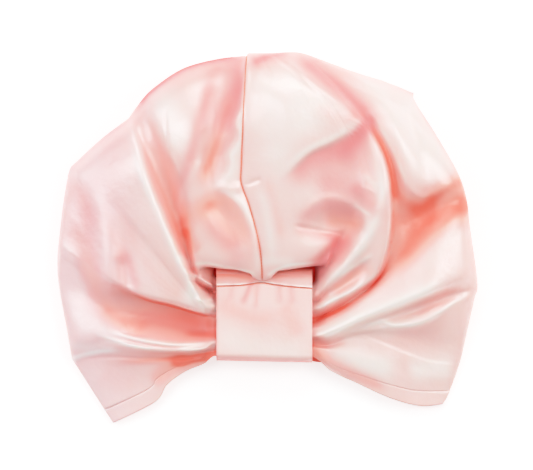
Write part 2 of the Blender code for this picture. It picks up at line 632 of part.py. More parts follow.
def make_halves(parent):
    """Both halves, whose walls meet squarely along the centre seam."""
    halves = {side: half_grid(side) for side in SIDES}
    normals = {side: face_normals(halves[side][0], side) for side in SIDES}
    shared = normals["left"][-1] + normals["right"][-1]
    shared[:, 0] = 0
    shared /= np.linalg.norm(shared, axis=1, keepdims=True)
    for side, (grid, at) in halves.items():
        normals[side][-1] = shared
        make_half(side, grid, at, normals[side], parent)


def tab_section(first, last):
    """y, z and outward y, z round the tab's tube, from angle first to last: 0 is the seam, 1 the foot's
    front, 2 its back, 3 the back's top, 4 the strip's front and 5 the seam again."""
    foot = -TAB_HEIGHT + TAB_FOOT_ROUND
    head = STRIP_HEIGHT - TAB_TOP_ROUND
    half = TAB_DEPTH / 2
    section = []
    for place_round in np.linspace(first, last, round((last - first) / TAB_STEP) + 1):
        leg = min(int(place_round), TAB_LEGS - 1)
        share = place_round - leg
        if leg == 0:
            row = (foot * share, half, 0, 1)
        elif leg == 2:
            row = (foot + (head - foot) * share, -half, 0, -1)
        elif leg == 4:
            row = (head * (1 - share), half, 0, 1)
        else:
            bend = math.pi * share
            middle, size, way = (foot, TAB_FOOT_ROUND, -1) if leg == 1 else (head, TAB_TOP_ROUND, 1)
            out_y = way * math.sin(bend)
            out_z = -way * math.cos(bend)
            row = (middle + size * out_y, half * out_z, out_y, out_z)
        section.append(row)
    return np.array(section)


def make_band(name, first, last, parent):
    """A stretch of the tab's tube as one walled piece, its ends half a sewing gap short."""
    section = tab_section(first, last)
    y, z, out_y, out_z = section.T
    pillow = TAB_PILLOW * np.sin(np.clip(-y / TAB_HEIGHT, 0, 1) * math.pi) * (out_z > 0.9)
    grids = []
    for wall in (0, TAB_WALL):
        columns = []
        for across_share in np.linspace(-1, 1, TAB_COLUMNS):
            x = TAB_OFFSET + across_share * TAB_WIDTH / 2
            rise = pillow * (1 - across_share**2)
            column_y = tilted(x, y - out_y * wall)
            column_z = TAB_LIFT + TAB_DEPTH / 2 + z + rise - out_z * wall
            columns.append(np.stack([np.full_like(y, x), column_y, column_z], axis=1))
        grid = np.array(columns)
        for edge, inner in ((0, 1), (-1, -2)):
            step = grid[:, inner] - grid[:, edge]
            grid[:, edge] += step / np.linalg.norm(step, axis=1, keepdims=True) * SEW_GAP / 2
        grids.append(grid)
    points, faces = walled(grids[0], grids[1], True)
    add_object(name, points, faces, parent, TINTS[name])


def clear_scene():
    for obj in list(bpy.data.objects):
        bpy.data.objects.remove(obj)


def settle(parent):
    """Moves the whole turban so that the middle of its box stands on the origin."""
    corners = np.array([vertex.co for child in parent.children for vertex in child.data.vertices])
    low, high = corners.min(axis=0), corners.max(axis=0)
    parent.location = (-(low[0] + high[0]) / 2, -(low[1] + high[1]) / 2, -low[2])


def main():
    clear_scene()
    turban = bpy.data.objects.new("turban", None)
    bpy.context.scene.collection.objects.link(turban)
    make_halves(turban)
    make_band("front_tab", 0, 3, turban)
    make_band("tab_strip", 3, 5, turban)
    settle(turban)


main()
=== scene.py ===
# %% [markdown]
# # A satin turban, laid on its back
#
# This lesson dresses a finished construction model. The model already has the right size and the
# main folds; here every sheet of cloth is drawn again much finer, with its wrinkles, seams,
# stitches and satin. We start by loading the model as a fixed frame, so that all sizes below can
# be read from it and nothing has to be fitted afterwards.

import math
from collections import namedtuple

import bpy
import numpy as np
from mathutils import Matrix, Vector


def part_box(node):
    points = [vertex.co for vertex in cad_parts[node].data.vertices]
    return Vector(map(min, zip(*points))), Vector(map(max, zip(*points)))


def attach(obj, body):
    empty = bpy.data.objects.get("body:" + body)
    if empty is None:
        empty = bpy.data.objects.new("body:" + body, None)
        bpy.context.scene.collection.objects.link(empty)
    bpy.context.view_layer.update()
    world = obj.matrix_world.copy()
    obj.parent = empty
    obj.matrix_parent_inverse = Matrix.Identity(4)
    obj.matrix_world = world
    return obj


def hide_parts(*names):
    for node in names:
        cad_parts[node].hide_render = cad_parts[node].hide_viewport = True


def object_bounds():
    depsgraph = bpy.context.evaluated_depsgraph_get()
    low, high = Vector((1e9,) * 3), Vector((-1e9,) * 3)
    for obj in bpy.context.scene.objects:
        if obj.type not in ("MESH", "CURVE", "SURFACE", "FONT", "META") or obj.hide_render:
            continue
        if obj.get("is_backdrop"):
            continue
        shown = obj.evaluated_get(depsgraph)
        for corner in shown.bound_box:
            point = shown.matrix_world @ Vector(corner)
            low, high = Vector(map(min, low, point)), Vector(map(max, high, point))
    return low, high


MILLIMETRE = 0.001


def in_mm(length):
    """A length, or several, in millimetres for printing."""
    return np.round(np.asarray(length) / MILLIMETRE, 1)


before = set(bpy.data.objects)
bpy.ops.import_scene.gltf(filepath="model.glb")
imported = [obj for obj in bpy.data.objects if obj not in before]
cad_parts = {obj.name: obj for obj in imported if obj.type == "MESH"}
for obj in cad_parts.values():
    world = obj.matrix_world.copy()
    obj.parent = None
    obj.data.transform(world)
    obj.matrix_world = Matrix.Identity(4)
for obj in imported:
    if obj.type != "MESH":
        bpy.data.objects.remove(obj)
cad_low, cad_high = (np.array(corner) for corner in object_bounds())
print("the frame is", in_mm(cad_high - cad_low), "mm")

# %% [markdown]
# The tab is the flat tube of cloth that holds the gathers. Its seam is the natural place to
# measure from: every fold starts near it. So the origin of all the work below is the middle of
# that seam, and the sizes are read from the frame's own boxes.

# %% Read the sizes from the frame
TAB_TILT = math.radians(1.2)
SEW_GAP = 0.0003
TOP_SHARE = 0.994

tab_low, tab_high = (np.array(corner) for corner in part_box("front_tab"))
strip_low, strip_high = (np.array(corner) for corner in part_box("tab_strip"))
tab_width = tab_high[0] - tab_low[0]
tab_offset = (tab_low[0] + tab_high[0]) / 2
tab_lean = tab_width / 2 * math.tan(TAB_TILT)
seam_y = strip_low[1] + tab_lean - SEW_GAP / 2
tab_height = seam_y - tab_lean - tab_low[1]
strip_height = strip_high[1] - tab_lean - seam_y
tab_lift = strip_low[2]
tab_depth = strip_high[2] - strip_low[2]
half_width = (cad_high[0] - cad_low[0]) / 2
crown_rise = cad_high[1] - seam_y
flap_drop = seam_y - cad_low[1]
loft = cad_high[2] / TOP_SHARE
seam_middle = np.array([0, seam_y, 0])
print("tab", in_mm(tab_width), "by", in_mm(tab_height), "mm, loft", in_mm(loft), "mm")

# %% [markdown]
# The photograph looks straight down. From far away with a long lens the cloth's height hardly
# shifts anything sideways, so one pixel is the same length everywhere. That makes it easy to put
# a wrinkle where the photograph has it. The camera comes first, because all later choices are
# judged through it.

# %% Set up the camera
PHOTO_WIDTH = 533
PHOTO_HEIGHT = 470
PIXEL = 0.00075
SEAM_PX = 267.5
SEAM_PY = 285
CAMERA_HEIGHT = 4.0


def from_photo(px, py):
    """x and y, measured from the tab's seam, of a pixel of the photograph."""
    return (px - SEAM_PX) * PIXEL, (SEAM_PY - py) * PIXEL


camera = bpy.data.objects.new("camera", bpy.data.cameras.new("camera"))
bpy.context.scene.collection.objects.link(camera)
bpy.context.scene.camera = camera
middle_x, middle_y = from_photo(PHOTO_WIDTH / 2, PHOTO_HEIGHT / 2)
camera.location = (middle_x, middle_y + seam_y, CAMERA_HEIGHT)
camera.data.lens = camera.data.sensor_width * CAMERA_HEIGHT / (PHOTO_WIDTH * PIXEL)
camera.data.clip_end = 3 * CAMERA_HEIGHT
print("the lens is", round(camera.data.lens), "mm")

# %% [markdown]
# The turban lies on a plain white floor. It is lit from below, as on a light table, which keeps
# the shadows faint, and it is one square of mesh.

# %% Lay the floor
FLOOR_SIZE = 6.0
FLOOR_COLOUR = (0.95, 0.95, 0.95, 1)
FLOOR_ROUGHNESS = 0.9
FLOOR_GLOW = 0.6


def painted(name, values):
    """A new material, and its shader with the sockets set that are the same all over."""
    material = bpy.data.materials.new(name)
    material.use_nodes = True
    shader = material.node_tree.nodes["Principled BSDF"]
    for socket, value in values.items():
        shader.inputs[socket].default_value = value
    return material, shader


side = FLOOR_SIZE / 2
corners = [(-side, -side, 0), (side, -side, 0), (side, side, 0), (-side, side, 0)]
floor_mesh = bpy.data.meshes.new("floor")
floor_mesh.from_pydata(corners, [], [(0, 1, 2, 3)])
floor_paint, _ = painted("floor_paint", {
    "Base Color": FLOOR_COLOUR,
    "Roughness": FLOOR_ROUGHNESS,
    "Emission Color": FLOOR_COLOUR,
    "Emission Strength": FLOOR_GLOW,
})
floor_mesh.materials.append(floor_paint)
floor = bpy.data.objects.new("floor", floor_mesh)
bpy.context.scene.collection.objects.link(floor)
floor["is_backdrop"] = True
print("the floor is", FLOOR_SIZE, "m wide")

# %% [markdown]
# Satin shows its folds by what it mirrors. In the photograph the floors of the folds, which face
# straight up, aren't bright, so the light doesn't come from above: three wide panels hang low on
# the left, the right and behind the crown. Slopes that face one of them turn nearly white and the
# rest keeps the cloth's own colour.

# %% Hang the lamps
Lamp = namedtuple("Lamp", "name place size power colour")
LAMPS = (
    Lamp("left_panel", (-1.25, 0.25, 1.25), (0.6, 1.4), 13.5, (1, 0.98, 1)),
    Lamp("right_panel", (1.25, 0.35, 1.25), (0.6, 1.4), 14.5, (1, 0.975, 0.95)),
    Lamp("crown_panel", (0.15, 1.35, 1.25), (1.2, 0.6), 13.5, (1, 0.98, 0.96)),
)

for lamp in LAMPS:
    light = bpy.data.lights.new(lamp.name, "AREA")
    light.shape = "RECTANGLE"
    light.size, light.size_y = lamp.size
    light.energy = lamp.power
    light.color = lamp.colour
    hung = bpy.data.objects.new(lamp.name, light)
    hung.location = lamp.place
    toward_seam = Vector(seam_middle) - Vector(lamp.place)
    hung.rotation_euler = toward_seam.to_track_quat("-Z", "Y").to_euler()
    bpy.context.scene.collection.objects.link(hung)
print(len(LAMPS), "lamps of", [lamp.power for lamp in LAMPS], "watts")

# %% [markdown]
# The rest of the light is a soft dome, as a small studio tent gives it. It is darkest at the
# horizon and a little darker straight above, in rings of the height at which a ray leaves.

# %% Light the dome
DOME_BRIGHTNESS = 0.7
Ring = namedtuple("Ring", "rise share")
DOME = (Ring(0.0, 0.25), Ring(0.5, 0.9), Ring(0.8, 1.0), Ring(1.0, 0.6))

world = bpy.data.worlds.new("studio")
world.use_nodes = True
world_nodes = world.node_tree.nodes
background = world_nodes["Background"]
background.inputs["Strength"].default_value = DOME_BRIGHTNESS
direction = world_nodes.new("ShaderNodeTexCoord")
rise = world_nodes.new("ShaderNodeSeparateXYZ")
rings = world_nodes.new("ShaderNodeValToRGB")
for ring in DOME[1:-1]:
    rings.color_ramp.elements.new(ring.rise)
for element, ring in zip(rings.color_ramp.elements, DOME):
    element.position = ring.rise
    element.color = (ring.share, ring.share, ring.share, 1)
rings.color_ramp.interpolation = "EASE"
world.node_tree.links.new(direction.outputs["Generated"], rise.inputs["Vector"])
world.node_tree.links.new(rise.outputs["Z"], rings.inputs["Fac"])
world.node_tree.links.new(rings.outputs["Color"], background.inputs["Color"])
bpy.context.scene.world = world
print("a dome of", len(DOME), "rings")

# %% [markdown]
# A pale object on a white floor clips easily. As on film, a soft shoulder bends the brightest
# tones, so that highlights turn nearly white but keep their shape. Light also has to bounce often
# enough between the layers of cloth to colour the deep folds.

# %% Soften the brightest tones
WHITE_LEVEL = 1.7
SOFT_SHOULDER = ((0.25, 0.25), (0.5, 0.49), (0.75, 0.70), (1.0, 0.83), (1.25, 0.91), (1.5, 0.97))
BOUNCES = 16
ALL_CHANNELS = 3

view = bpy.context.scene.view_settings
view.view_transform = "Standard"
view.use_curve_mapping = True
view.curve_mapping.white_level = (WHITE_LEVEL, WHITE_LEVEL, WHITE_LEVEL)
all_channels = view.curve_mapping.curves[ALL_CHANNELS]
for light_in, light_out in SOFT_SHOULDER:
    all_channels.points.new(light_in / WHITE_LEVEL, light_out)
view.curve_mapping.update()
bpy.context.scene.cycles.max_bounces = BOUNCES
bpy.context.scene.cycles.diffuse_bounces = BOUNCES
print("white from", WHITE_LEVEL, "on, with", BOUNCES, "bounces")

# %% [markdown]
# Each half of the crown is one sheet of satin that is gathered in the tab, spreads over the front in
# folds, rolls round the rim and lies flat underneath. A sheet like this could be simulated, but a
# simulation rarely lands on the folds of one photograph. Instead each fold is a named line that is
# listed: where it leaves the tab, which way it runs and where it ends on the outline.
# The sheet is then drawn smoothly across the lines. First come the small tools for that.

# %% Draw smooth lines through listed points
SIDES = {"left": -1, "right": 1}


def ease(share):
    """0 to 1 with a level start and end."""
    share = np.clip(share, 0, 1)
    return share * share * (3 - 2 * share)


def walked_along(points):
    """How far along a line each of its points lies."""
    return np.concatenate([[0], np.cumsum(np.linalg.norm(np.diff(points, axis=0), axis=1))])


def hermite(knots, points, at, before, after):
    """The cubic through points at knots, with its slopes just before and just after each."""
    knots = np.asarray(knots, float)
    span = np.clip(np.searchsorted(knots, at, side="right") - 1, 0, len(knots) - 2)
    width = (knots[span + 1] - knots[span]).reshape(-1, *[1] * (points.ndim - 1))
    t = (np.asarray(at) - knots[span]).reshape(width.shape) / width
    return (
        (1 + 2 * t) * (1 - t) ** 2 * points[span]
        + t * (1 - t) ** 2 * width * after[span]
        + t * t * (3 - 2 * t) * points[span + 1]
        + t * t * (t - 1) * width * before[span + 1]
    )


def through(knots, points, at, corners=None, last=None):
    """A smooth curve through points, with corners where corners is 1 and last as its end slope."""
    knots = np.asarray(knots, float)
    step = np.diff(points, axis=0) / np.diff(knots)[:, None]
    slope = np.empty_like(points)
    slope[0] = step[0]
    slope[-1] = step[-1] if last is None else last
    slope[1:-1] = (points[2:] - points[:-2]) / (knots[2:] - knots[:-2])[:, None]
    before = slope.copy()
    after = slope.copy()
    if corners is not None:
        turn = np.flatnonzero(np.asarray(corners)[1:-1]) + 1
        before[turn] = step[turn - 1]
        after[turn] = step[turn]
    return hermite(knots, points, at, before, after)


def across(rows, at, sharp):
    """Rows of points joined into a sheet that never swings past a row; sharp rows are creases."""
    step = np.diff(rows, axis=0)
    one_way = step[:-1] * step[1:] > 0
    both = np.where(one_way, step[:-1] + step[1:], 1)
    slope = np.empty_like(rows)
    slope[0] = step[0]
    slope[-1] = step[-1]
    slope[1:-1] = np.where(one_way, 2 * step[:-1] * step[1:] / both, 0)
    sharp = np.asarray(sharp, float)[1:-1, None, None]
    before = slope.copy()
    after = slope.copy()
    before[1:-1] += (step[:-1] - slope[1:-1]) * sharp
    after[1:-1] += (step[1:] - slope[1:-1]) * sharp
    return hermite(np.arange(len(rows)), rows, at, before, after)


def blurred(values, passes):
    """Values evened out over their neighbours along both directions of a grid."""
    for _ in range(passes):
        for axis in (0, 1):
            borders = [(1, 1) if axis == other else (0, 0) for other in range(values.ndim)]
            wide = np.pad(values, borders, mode="edge")
            ahead, behind = (wide[2:], wide[:-2]) if axis == 0 else (wide[:, 2:], wide[:, :-2])
            values = (2 * values + ahead + behind) / 4
    return values


def shared_points(photo_points):
    """Photograph pixels as points from the tab's seam, one row each."""
    return np.array([from_photo(px, py) for px, py in photo_points])


print("halfway up the ease is", ease(0.5))

# %% [markdown]
# The outline is read from the photograph as a few named rim places for each half, from the hem's
# tip up to the centre seam, each with the height of the cloth that turns there. Corners are where
# the flattened cloth is folded sharply, at the lower tips, at the two notches of the left side
# and at the upper right.

# %% Place the outline
Rim = namedtuple("Rim", "x y height corner")
TAB_SIDES = {"left": -0.2424, "right": 0.2131}
TAB_FOOT = -0.551
RIMS = {
    "left": (
        Rim(-0.737, -1.000, 0.10, 1),
        Rim(-0.933, -0.536, 0.13, 1),
        Rim(-0.952, -0.362, 0.28, 0),
        Rim(-1.000, 0.056, 0.34, 0),
        Rim(-0.981, 0.294, 0.36, 0),
        Rim(-0.952, 0.468, 0.26, 0),
        Rim(-0.938, 0.511, 0.18, 1),
        Rim(-0.790, 0.632, 0.34, 0),
        Rim(-0.661, 0.719, 0.50, 1),
        Rim(-0.613, 0.779, 0.62, 0),
        Rim(-0.547, 0.844, 0.70, 0),
        Rim(-0.403, 0.931, 0.78, 0),
        Rim(-0.241, 0.972, 0.82, 0),
        Rim(-0.098, 0.987, 0.84, 0),
    ),
    "right": (
        Rim(0.838, -0.862, 0.10, 1),
        Rim(0.866, -0.783, 0.12, 0),
        Rim(0.919, -0.558, 0.15, 0),
        Rim(0.947, -0.370, 0.23, 0),
        Rim(0.986, -0.101, 0.31, 0),
        Rim(1.000, 0.013, 0.37, 0),
        Rim(0.962, 0.264, 0.46, 0),
        Rim(0.952, 0.351, 0.49, 0),
        Rim(0.914, 0.468, 0.54, 0),
        Rim(0.814, 0.632, 0.49, 0),
        Rim(0.704, 0.792, 0.26, 0),
        Rim(0.695, 0.829, 0.22, 1),
        Rim(0.556, 0.879, 0.50, 0),
        Rim(0.427, 0.913, 0.70, 0),
        Rim(0.279, 0.961, 0.84, 0),
        Rim(0.150, 1.000, 0.88, 0),
        Rim(0.020, 0.998, 0.86, 0),
        Rim(-0.096, 0.998, 0.84, 0),
    ),
}


def place(x, y, z):
    """A point from its shares of the turban's sizes, measured from the tab's seam."""
    sides = [-half_width, tab_offset - tab_width / 2, tab_offset + tab_width / 2, half_width]
    wide = np.interp(x, [-1, *TAB_SIDES.values(), 1], sides)
    high = np.interp(y, [-1, TAB_FOOT, 0, 1], [-flap_drop, -tab_height, 0, crown_rise])
    return np.array([wide, high, z * loft])


def rim_points(side, at):
    """x, y and turning height of the outline at each of the rim positions."""
    rims = RIMS[side]
    points = np.array([[*place(rim.x, rim.y, 0)[:2], rim.height * loft] for rim in rims])
    return through(np.arange(len(rims)), points, at, corners=[rim.corner for rim in rims])


print(sum(len(rims) for rims in RIMS.values()), "rim places")

# %% [markdown]
# Now the folds. A fold enters the tab's side at a share of its height, pinched at a share of its
# depth. The puffs of the crown come out above the tab instead, from behind the strip over the
# seam, and two rows start in the dark pockets beside that strip. Each course lists how far along
# the way to the rim a point lies, where it is, and how high the cloth stands there. The centre
# seam's course is shared by both halves.

# %% Name the kinds of rows
Fold = namedtuple("Fold", "name tab pinch rim sharp course")
Stitch = namedtuple("Stitch", "name tab pinch roll sharp")
Puff = namedtuple("Puff", "name x climb rim sharp course")
Pocket = namedtuple("Pocket", "name y sink rim sharp course")

SEAM_COURSE = (
    (0.13, -0.029, 0.100, 0.57), (0.25, -0.045, 0.203, 0.66), (0.42, -0.088, 0.346, 0.72),
    (0.52, -0.124, 0.437, 0.75), (0.60, -0.124, 0.498, 0.78), (0.83, -0.110, 0.801, 0.88))
print("the centre seam has", len(SEAM_COURSE), "points")

# %% [markdown]
# The left half, from the hem up: the mouth's edge and the hem's stitches, a long low ridge that
# runs out to the tip, the deep valley above it, the lapel that hangs over that valley, the wide
# flank, the main ridge with its valley, two lines in the pocket beside the strip, and the puffs
# up to the centre seam.

# %% Chart the folds of the left half
FOLDS = {}
FOLDS["left"] = (
    Fold("mouth_edge", 0.97, 0.45, 0, 0, (
        (0.16, -0.298, -0.565, 0.17), (0.36, -0.384, -0.620, 0.15), (0.58, -0.475, -0.717, 0.14),
        (0.80, -0.537, -0.848, 0.11))),
    Stitch("hem_stitch", 0.94, 0.40, 0.03, 0),
    Fold("lower_crease", 0.90, 0.25, 1.0, 1, (
        (0.15, -0.308, -0.478, 0.19), (0.35, -0.418, -0.498, 0.18), (0.60, -0.585, -0.504, 0.19),
        (0.82, -0.761, -0.500, 0.17))),
    Fold("lower_ridge", 0.80, 0.70, 1.9, 0, (
        (0.15, -0.308, -0.453, 0.36), (0.35, -0.465, -0.449, 0.39), (0.60, -0.661, -0.420, 0.39),
        (0.82, -0.809, -0.355, 0.36))),
    Fold("lower_valley", 0.60, 0.05, 2.7, 0, (
        (0.15, -0.313, -0.326, 0.17), (0.35, -0.456, -0.283, 0.18), (0.60, -0.618, -0.217, 0.23),
        (0.82, -0.800, -0.130, 0.34))),
    Fold("lapel_under", 0.46, 0.30, 3.3, 0, (
        (0.15, -0.313, -0.208, 0.19), (0.35, -0.456, -0.145, 0.20), (0.60, -0.594, -0.092, 0.28),
        (0.82, -0.776, 0.009, 0.44))),
    Fold("lapel_edge", 0.42, 0.65, 3.5, 0, (
        (0.15, -0.313, -0.203, 0.43), (0.35, -0.456, -0.138, 0.49), (0.60, -0.594, -0.080, 0.53),
        (0.82, -0.766, 0.043, 0.53))),
    Fold("side_panel", 0.38, 0.75, 6, 0, (
        (0.15, -0.317, -0.152, 0.50), (0.35, -0.456, 0.056, 0.60), (0.60, -0.656, 0.273, 0.62),
        (0.85, -0.847, 0.433, 0.48))),
    Fold("main_ridge", 0.30, 0.95, 8, 0, (
        (0.15, -0.308, -0.115, 0.54), (0.35, -0.403, 0.091, 0.67), (0.60, -0.523, 0.338, 0.75),
        (0.83, -0.618, 0.584, 0.72))),
    Fold("main_valley", 0.11, 0.15, 8.5, 0, (
        (0.15, -0.323, -0.004, 0.36), (0.35, -0.383, 0.114, 0.47), (0.60, -0.466, 0.332, 0.57),
        (0.83, -0.580, 0.598, 0.63))),
    Fold("valley_floor", 0.08, 0.15, 8.8, 0, (
        (0.15, -0.320, 0.006, 0.35), (0.35, -0.373, 0.122, 0.46), (0.60, -0.438, 0.347, 0.56),
        (0.83, -0.540, 0.630, 0.63))),
    Fold("pleat_ridge", 0.02, 0.60, 9.3, 0, (
        (0.15, -0.317, 0.026, 0.41), (0.35, -0.362, 0.134, 0.52), (0.60, -0.408, 0.368, 0.68),
        (0.83, -0.499, 0.671, 0.76))),
    Pocket("pocket_floor", 0.55, 0.50, 10.0, 0, (
        (0.13, -0.327, 0.074, 0.51), (0.25, -0.356, 0.139, 0.63), (0.60, -0.384, 0.411, 0.78),
        (0.83, -0.456, 0.706, 0.80))),
    Pocket("pocket_back", 1.15, 0.20, 10.8, 0, (
        (0.13, -0.294, 0.082, 0.55), (0.25, -0.298, 0.147, 0.67), (0.60, -0.356, 0.446, 0.82),
        (0.83, -0.399, 0.745, 0.85))),
    Puff("puff_flank", -0.19, 0.00, 11.4, 0, (
        (0.13, -0.227, 0.073, 0.57), (0.25, -0.227, 0.147, 0.69), (0.60, -0.317, 0.468, 0.83),
        (0.83, -0.327, 0.762, 0.87))),
    Puff("puff_trough", -0.12, 0.10, 12.2, 0, (
        (0.13, -0.150, 0.068, 0.57), (0.25, -0.150, 0.143, 0.68), (0.60, -0.270, 0.470, 0.75),
        (0.83, -0.251, 0.753, 0.79))),
    Puff("puff_inner", -0.08, 0.45, 12.7, 0, (
        (0.13, -0.088, 0.062, 0.57), (0.25, -0.098, 0.160, 0.68), (0.60, -0.200, 0.480, 0.80),
        (0.83, -0.170, 0.770, 0.86))),
    Puff("centre_seam", -0.024, 1.00, 13, 0, SEAM_COURSE),
)
print(len(FOLDS["left"]), "fold lines on the left")

# %% [markdown]
# The right half is folded deeper. Above its flat flap come a long low ridge, the wide valley that
# opens toward the rim, a narrow valley along the upper panel, the hood and the brow that curl round
# the tab's corner, the pocket behind them, and the puffs up to the same centre seam.

# %% Chart the folds of the right half
FOLDS["right"] = (
    Fold("mouth_edge", 0.97, 0.45, 0, 0, (
        (0.14, 0.298, -0.616, 0.17), (0.34, 0.427, -0.710, 0.15), (0.60, 0.589, -0.820, 0.14),
        (0.82, 0.728, -0.875, 0.11))),
    Stitch("hem_stitch", 0.91, 0.50, 0.07, 0),
    Fold("flap_belly", 0.85, 0.50, 1.5, 0, (
        (0.14, 0.298, -0.470, 0.25), (0.34, 0.418, -0.515, 0.26), (0.60, 0.594, -0.572, 0.23),
        (0.82, 0.752, -0.630, 0.18))),
    Fold("under_crease", 0.80, 0.20, 2.3, 0.6, (
        (0.14, 0.294, -0.432, 0.19), (0.34, 0.403, -0.370, 0.22), (0.60, 0.561, -0.345, 0.26),
        (0.82, 0.752, -0.384, 0.24))),
    Fold("swoosh", 0.76, 0.30, 4.3, 0, (
        (0.14, 0.294, -0.406, 0.25), (0.34, 0.413, -0.333, 0.29), (0.60, 0.623, -0.283, 0.37),
        (0.82, 0.814, -0.188, 0.41))),
    Fold("low_valley", 0.73, 0.40, 4.8, 0, (
        (0.14, 0.294, -0.388, 0.31), (0.34, 0.427, -0.300, 0.32), (0.60, 0.642, -0.195, 0.31),
        (0.82, 0.823, -0.094, 0.36))),
    Fold("low_ridge", 0.68, 0.85, 5.3, 0, (
        (0.14, 0.294, -0.333, 0.43), (0.34, 0.432, -0.243, 0.52), (0.60, 0.642, -0.116, 0.57),
        (0.82, 0.823, 0.004, 0.57))),
    Fold("side_panel", 0.58, 0.75, 6.6, 0, (
        (0.14, 0.294, -0.268, 0.39), (0.34, 0.432, -0.152, 0.50), (0.60, 0.642, 0.043, 0.55),
        (0.82, 0.838, 0.170, 0.53))),
    Fold("wide_valley", 0.50, 0.10, 8.4, 0, (
        (0.14, 0.296, -0.213, 0.30), (0.34, 0.434, -0.103, 0.44), (0.55, 0.594, 0.091, 0.47),
        (0.73, 0.750, 0.310, 0.46), (0.79, 0.790, 0.368, 0.48), (0.90, 0.870, 0.440, 0.50))),
    Fold("upper_panel", 0.48, 0.08, 11, 0, (
        (0.14, 0.296, -0.204, 0.29), (0.34, 0.431, -0.095, 0.43), (0.55, 0.580, 0.082, 0.46),
        (0.73, 0.685, 0.325, 0.50), (0.79, 0.690, 0.400, 0.65), (0.90, 0.690, 0.650, 0.64))),
    Fold("panel_edge", 0.465, 0.06, 14.3, 0, (
        (0.14, 0.296, -0.199, 0.27), (0.34, 0.428, -0.090, 0.41), (0.55, 0.566, 0.074, 0.45),
        (0.70, 0.630, 0.303, 0.52), (0.78, 0.628, 0.497, 0.70), (0.90, 0.490, 0.770, 0.79))),
    Fold("narrow_valley", 0.45, 0.04, 14.8, 0.5, (
        (0.14, 0.296, -0.194, 0.235), (0.34, 0.425, -0.085, 0.36), (0.55, 0.557, 0.065, 0.42),
        (0.70, 0.610, 0.303, 0.50), (0.80, 0.590, 0.556, 0.66), (0.90, 0.445, 0.765, 0.78))),
    Fold("hood_under", 0.39, 0.35, 15, 0, (
        (0.14, 0.294, -0.174, 0.31), (0.34, 0.420, -0.062, 0.39), (0.55, 0.542, 0.071, 0.47),
        (0.70, 0.590, 0.303, 0.63), (0.80, 0.560, 0.552, 0.74), (0.90, 0.400, 0.780, 0.83))),
    Fold("hood_ridge", 0.31, 0.80, 15.3, 0, (
        (0.14, 0.294, -0.123, 0.47), (0.34, 0.415, -0.030, 0.57), (0.55, 0.538, 0.085, 0.65),
        (0.70, 0.582, 0.303, 0.79), (0.80, 0.548, 0.550, 0.85), (0.90, 0.372, 0.794, 0.88))),
    Fold("hood_hollow", 0.22, 0.45, 15.6, 0, (
        (0.14, 0.294, -0.050, 0.42), (0.34, 0.403, 0.045, 0.52), (0.55, 0.495, 0.150, 0.69),
        (0.70, 0.523, 0.346, 0.85), (0.80, 0.492, 0.570, 0.90), (0.90, 0.322, 0.810, 0.92))),
    Fold("brow_ridge", 0.12, 0.95, 15.9, 0, (
        (0.14, 0.294, 0.020, 0.54), (0.34, 0.392, 0.112, 0.68), (0.55, 0.465, 0.210, 0.78),
        (0.70, 0.475, 0.370, 0.87), (0.80, 0.435, 0.570, 0.92), (0.90, 0.272, 0.826, 0.94))),
    Pocket("pocket_floor", 0.40, 0.50, 16.1, 0, (
        (0.13, 0.284, 0.074, 0.47), (0.30, 0.360, 0.182, 0.58), (0.45, 0.398, 0.262, 0.69),
        (0.60, 0.410, 0.390, 0.82), (0.80, 0.370, 0.628, 0.95), (0.90, 0.212, 0.844, 0.93))),
    Pocket("pocket_back", 1.15, 0.20, 16.3, 0, (
        (0.13, 0.284, 0.098, 0.60), (0.22, 0.303, 0.182, 0.67), (0.32, 0.300, 0.250, 0.67),
        (0.50, 0.300, 0.380, 0.83), (0.80, 0.250, 0.671, 0.97), (0.90, 0.146, 0.866, 0.93))),
    Puff("puff_outer", 0.15, 0.00, 16.5, 0, (
        (0.13, 0.169, 0.080, 0.59), (0.22, 0.184, 0.152, 0.70), (0.32, 0.184, 0.228, 0.72),
        (0.50, 0.169, 0.390, 0.86), (0.80, 0.110, 0.690, 0.99), (0.90, 0.060, 0.870, 0.92))),
    Puff("puff_inner", 0.05, 0.30, 16.75, 0, (
        (0.13, 0.060, 0.070, 0.59), (0.22, 0.065, 0.150, 0.68), (0.32, 0.055, 0.240, 0.74),
        (0.50, 0.030, 0.400, 0.82), (0.80, -0.007, 0.710, 0.93), (0.90, -0.021, 0.880, 0.89))),
    Puff("centre_seam", -0.024, 1.00, 17, 0, SEAM_COURSE),
)
print(len(FOLDS["right"]), "fold lines on the right")

# %% [markdown]
# Where a row starts depends on its kind. A fold comes out of the tab's side, tucked a little way
# in. A puff comes from behind the strip's top or lies over its face, and a pocket's row starts
# just beside the strip.

# %% Find where a row starts
CLOTH_WALL = 0.0015
TAB_WALL = 0.0018
TUCK = 0.012
TUCK_CLEAR = 0.0008
SEAT_CLEAR = 0.0005
POCKET_CLEAR = 0.002
TAB_TOP_ROUND = 0.009
TAB_FOOT_ROUND = 0.006
TOP_CLIMB = 0.6
ENTRY_REACH = 0.045


def tilted(x, y):
    """The y of a point of the tab, whose right side hangs a little lower."""
    return y - (x - tab_offset) * math.tan(TAB_TILT)


def tab_side(side):
    """x of one side of the tab."""
    return tab_offset + SIDES[side] * tab_width / 2


def tab_face(climb):
    """y and z just outside the tab's strip, from behind its top, 0, over it to the seam, 1."""
    middle = strip_height - TAB_TOP_ROUND
    clear = SEAT_CLEAR + CLOTH_WALL
    angle = np.minimum(climb / TOP_CLIMB, 1) * math.pi / 2
    y = middle + (TAB_TOP_ROUND + POCKET_CLEAR * (1 - climb) + clear) * np.cos(angle)
    y = y - np.maximum(climb - TOP_CLIMB, 0) / (1 - TOP_CLIMB) * (middle - SEAT_CLEAR)
    z = tab_lift + tab_depth / 2 + (tab_depth / 2 + clear) * np.sin(angle)
    return y, z


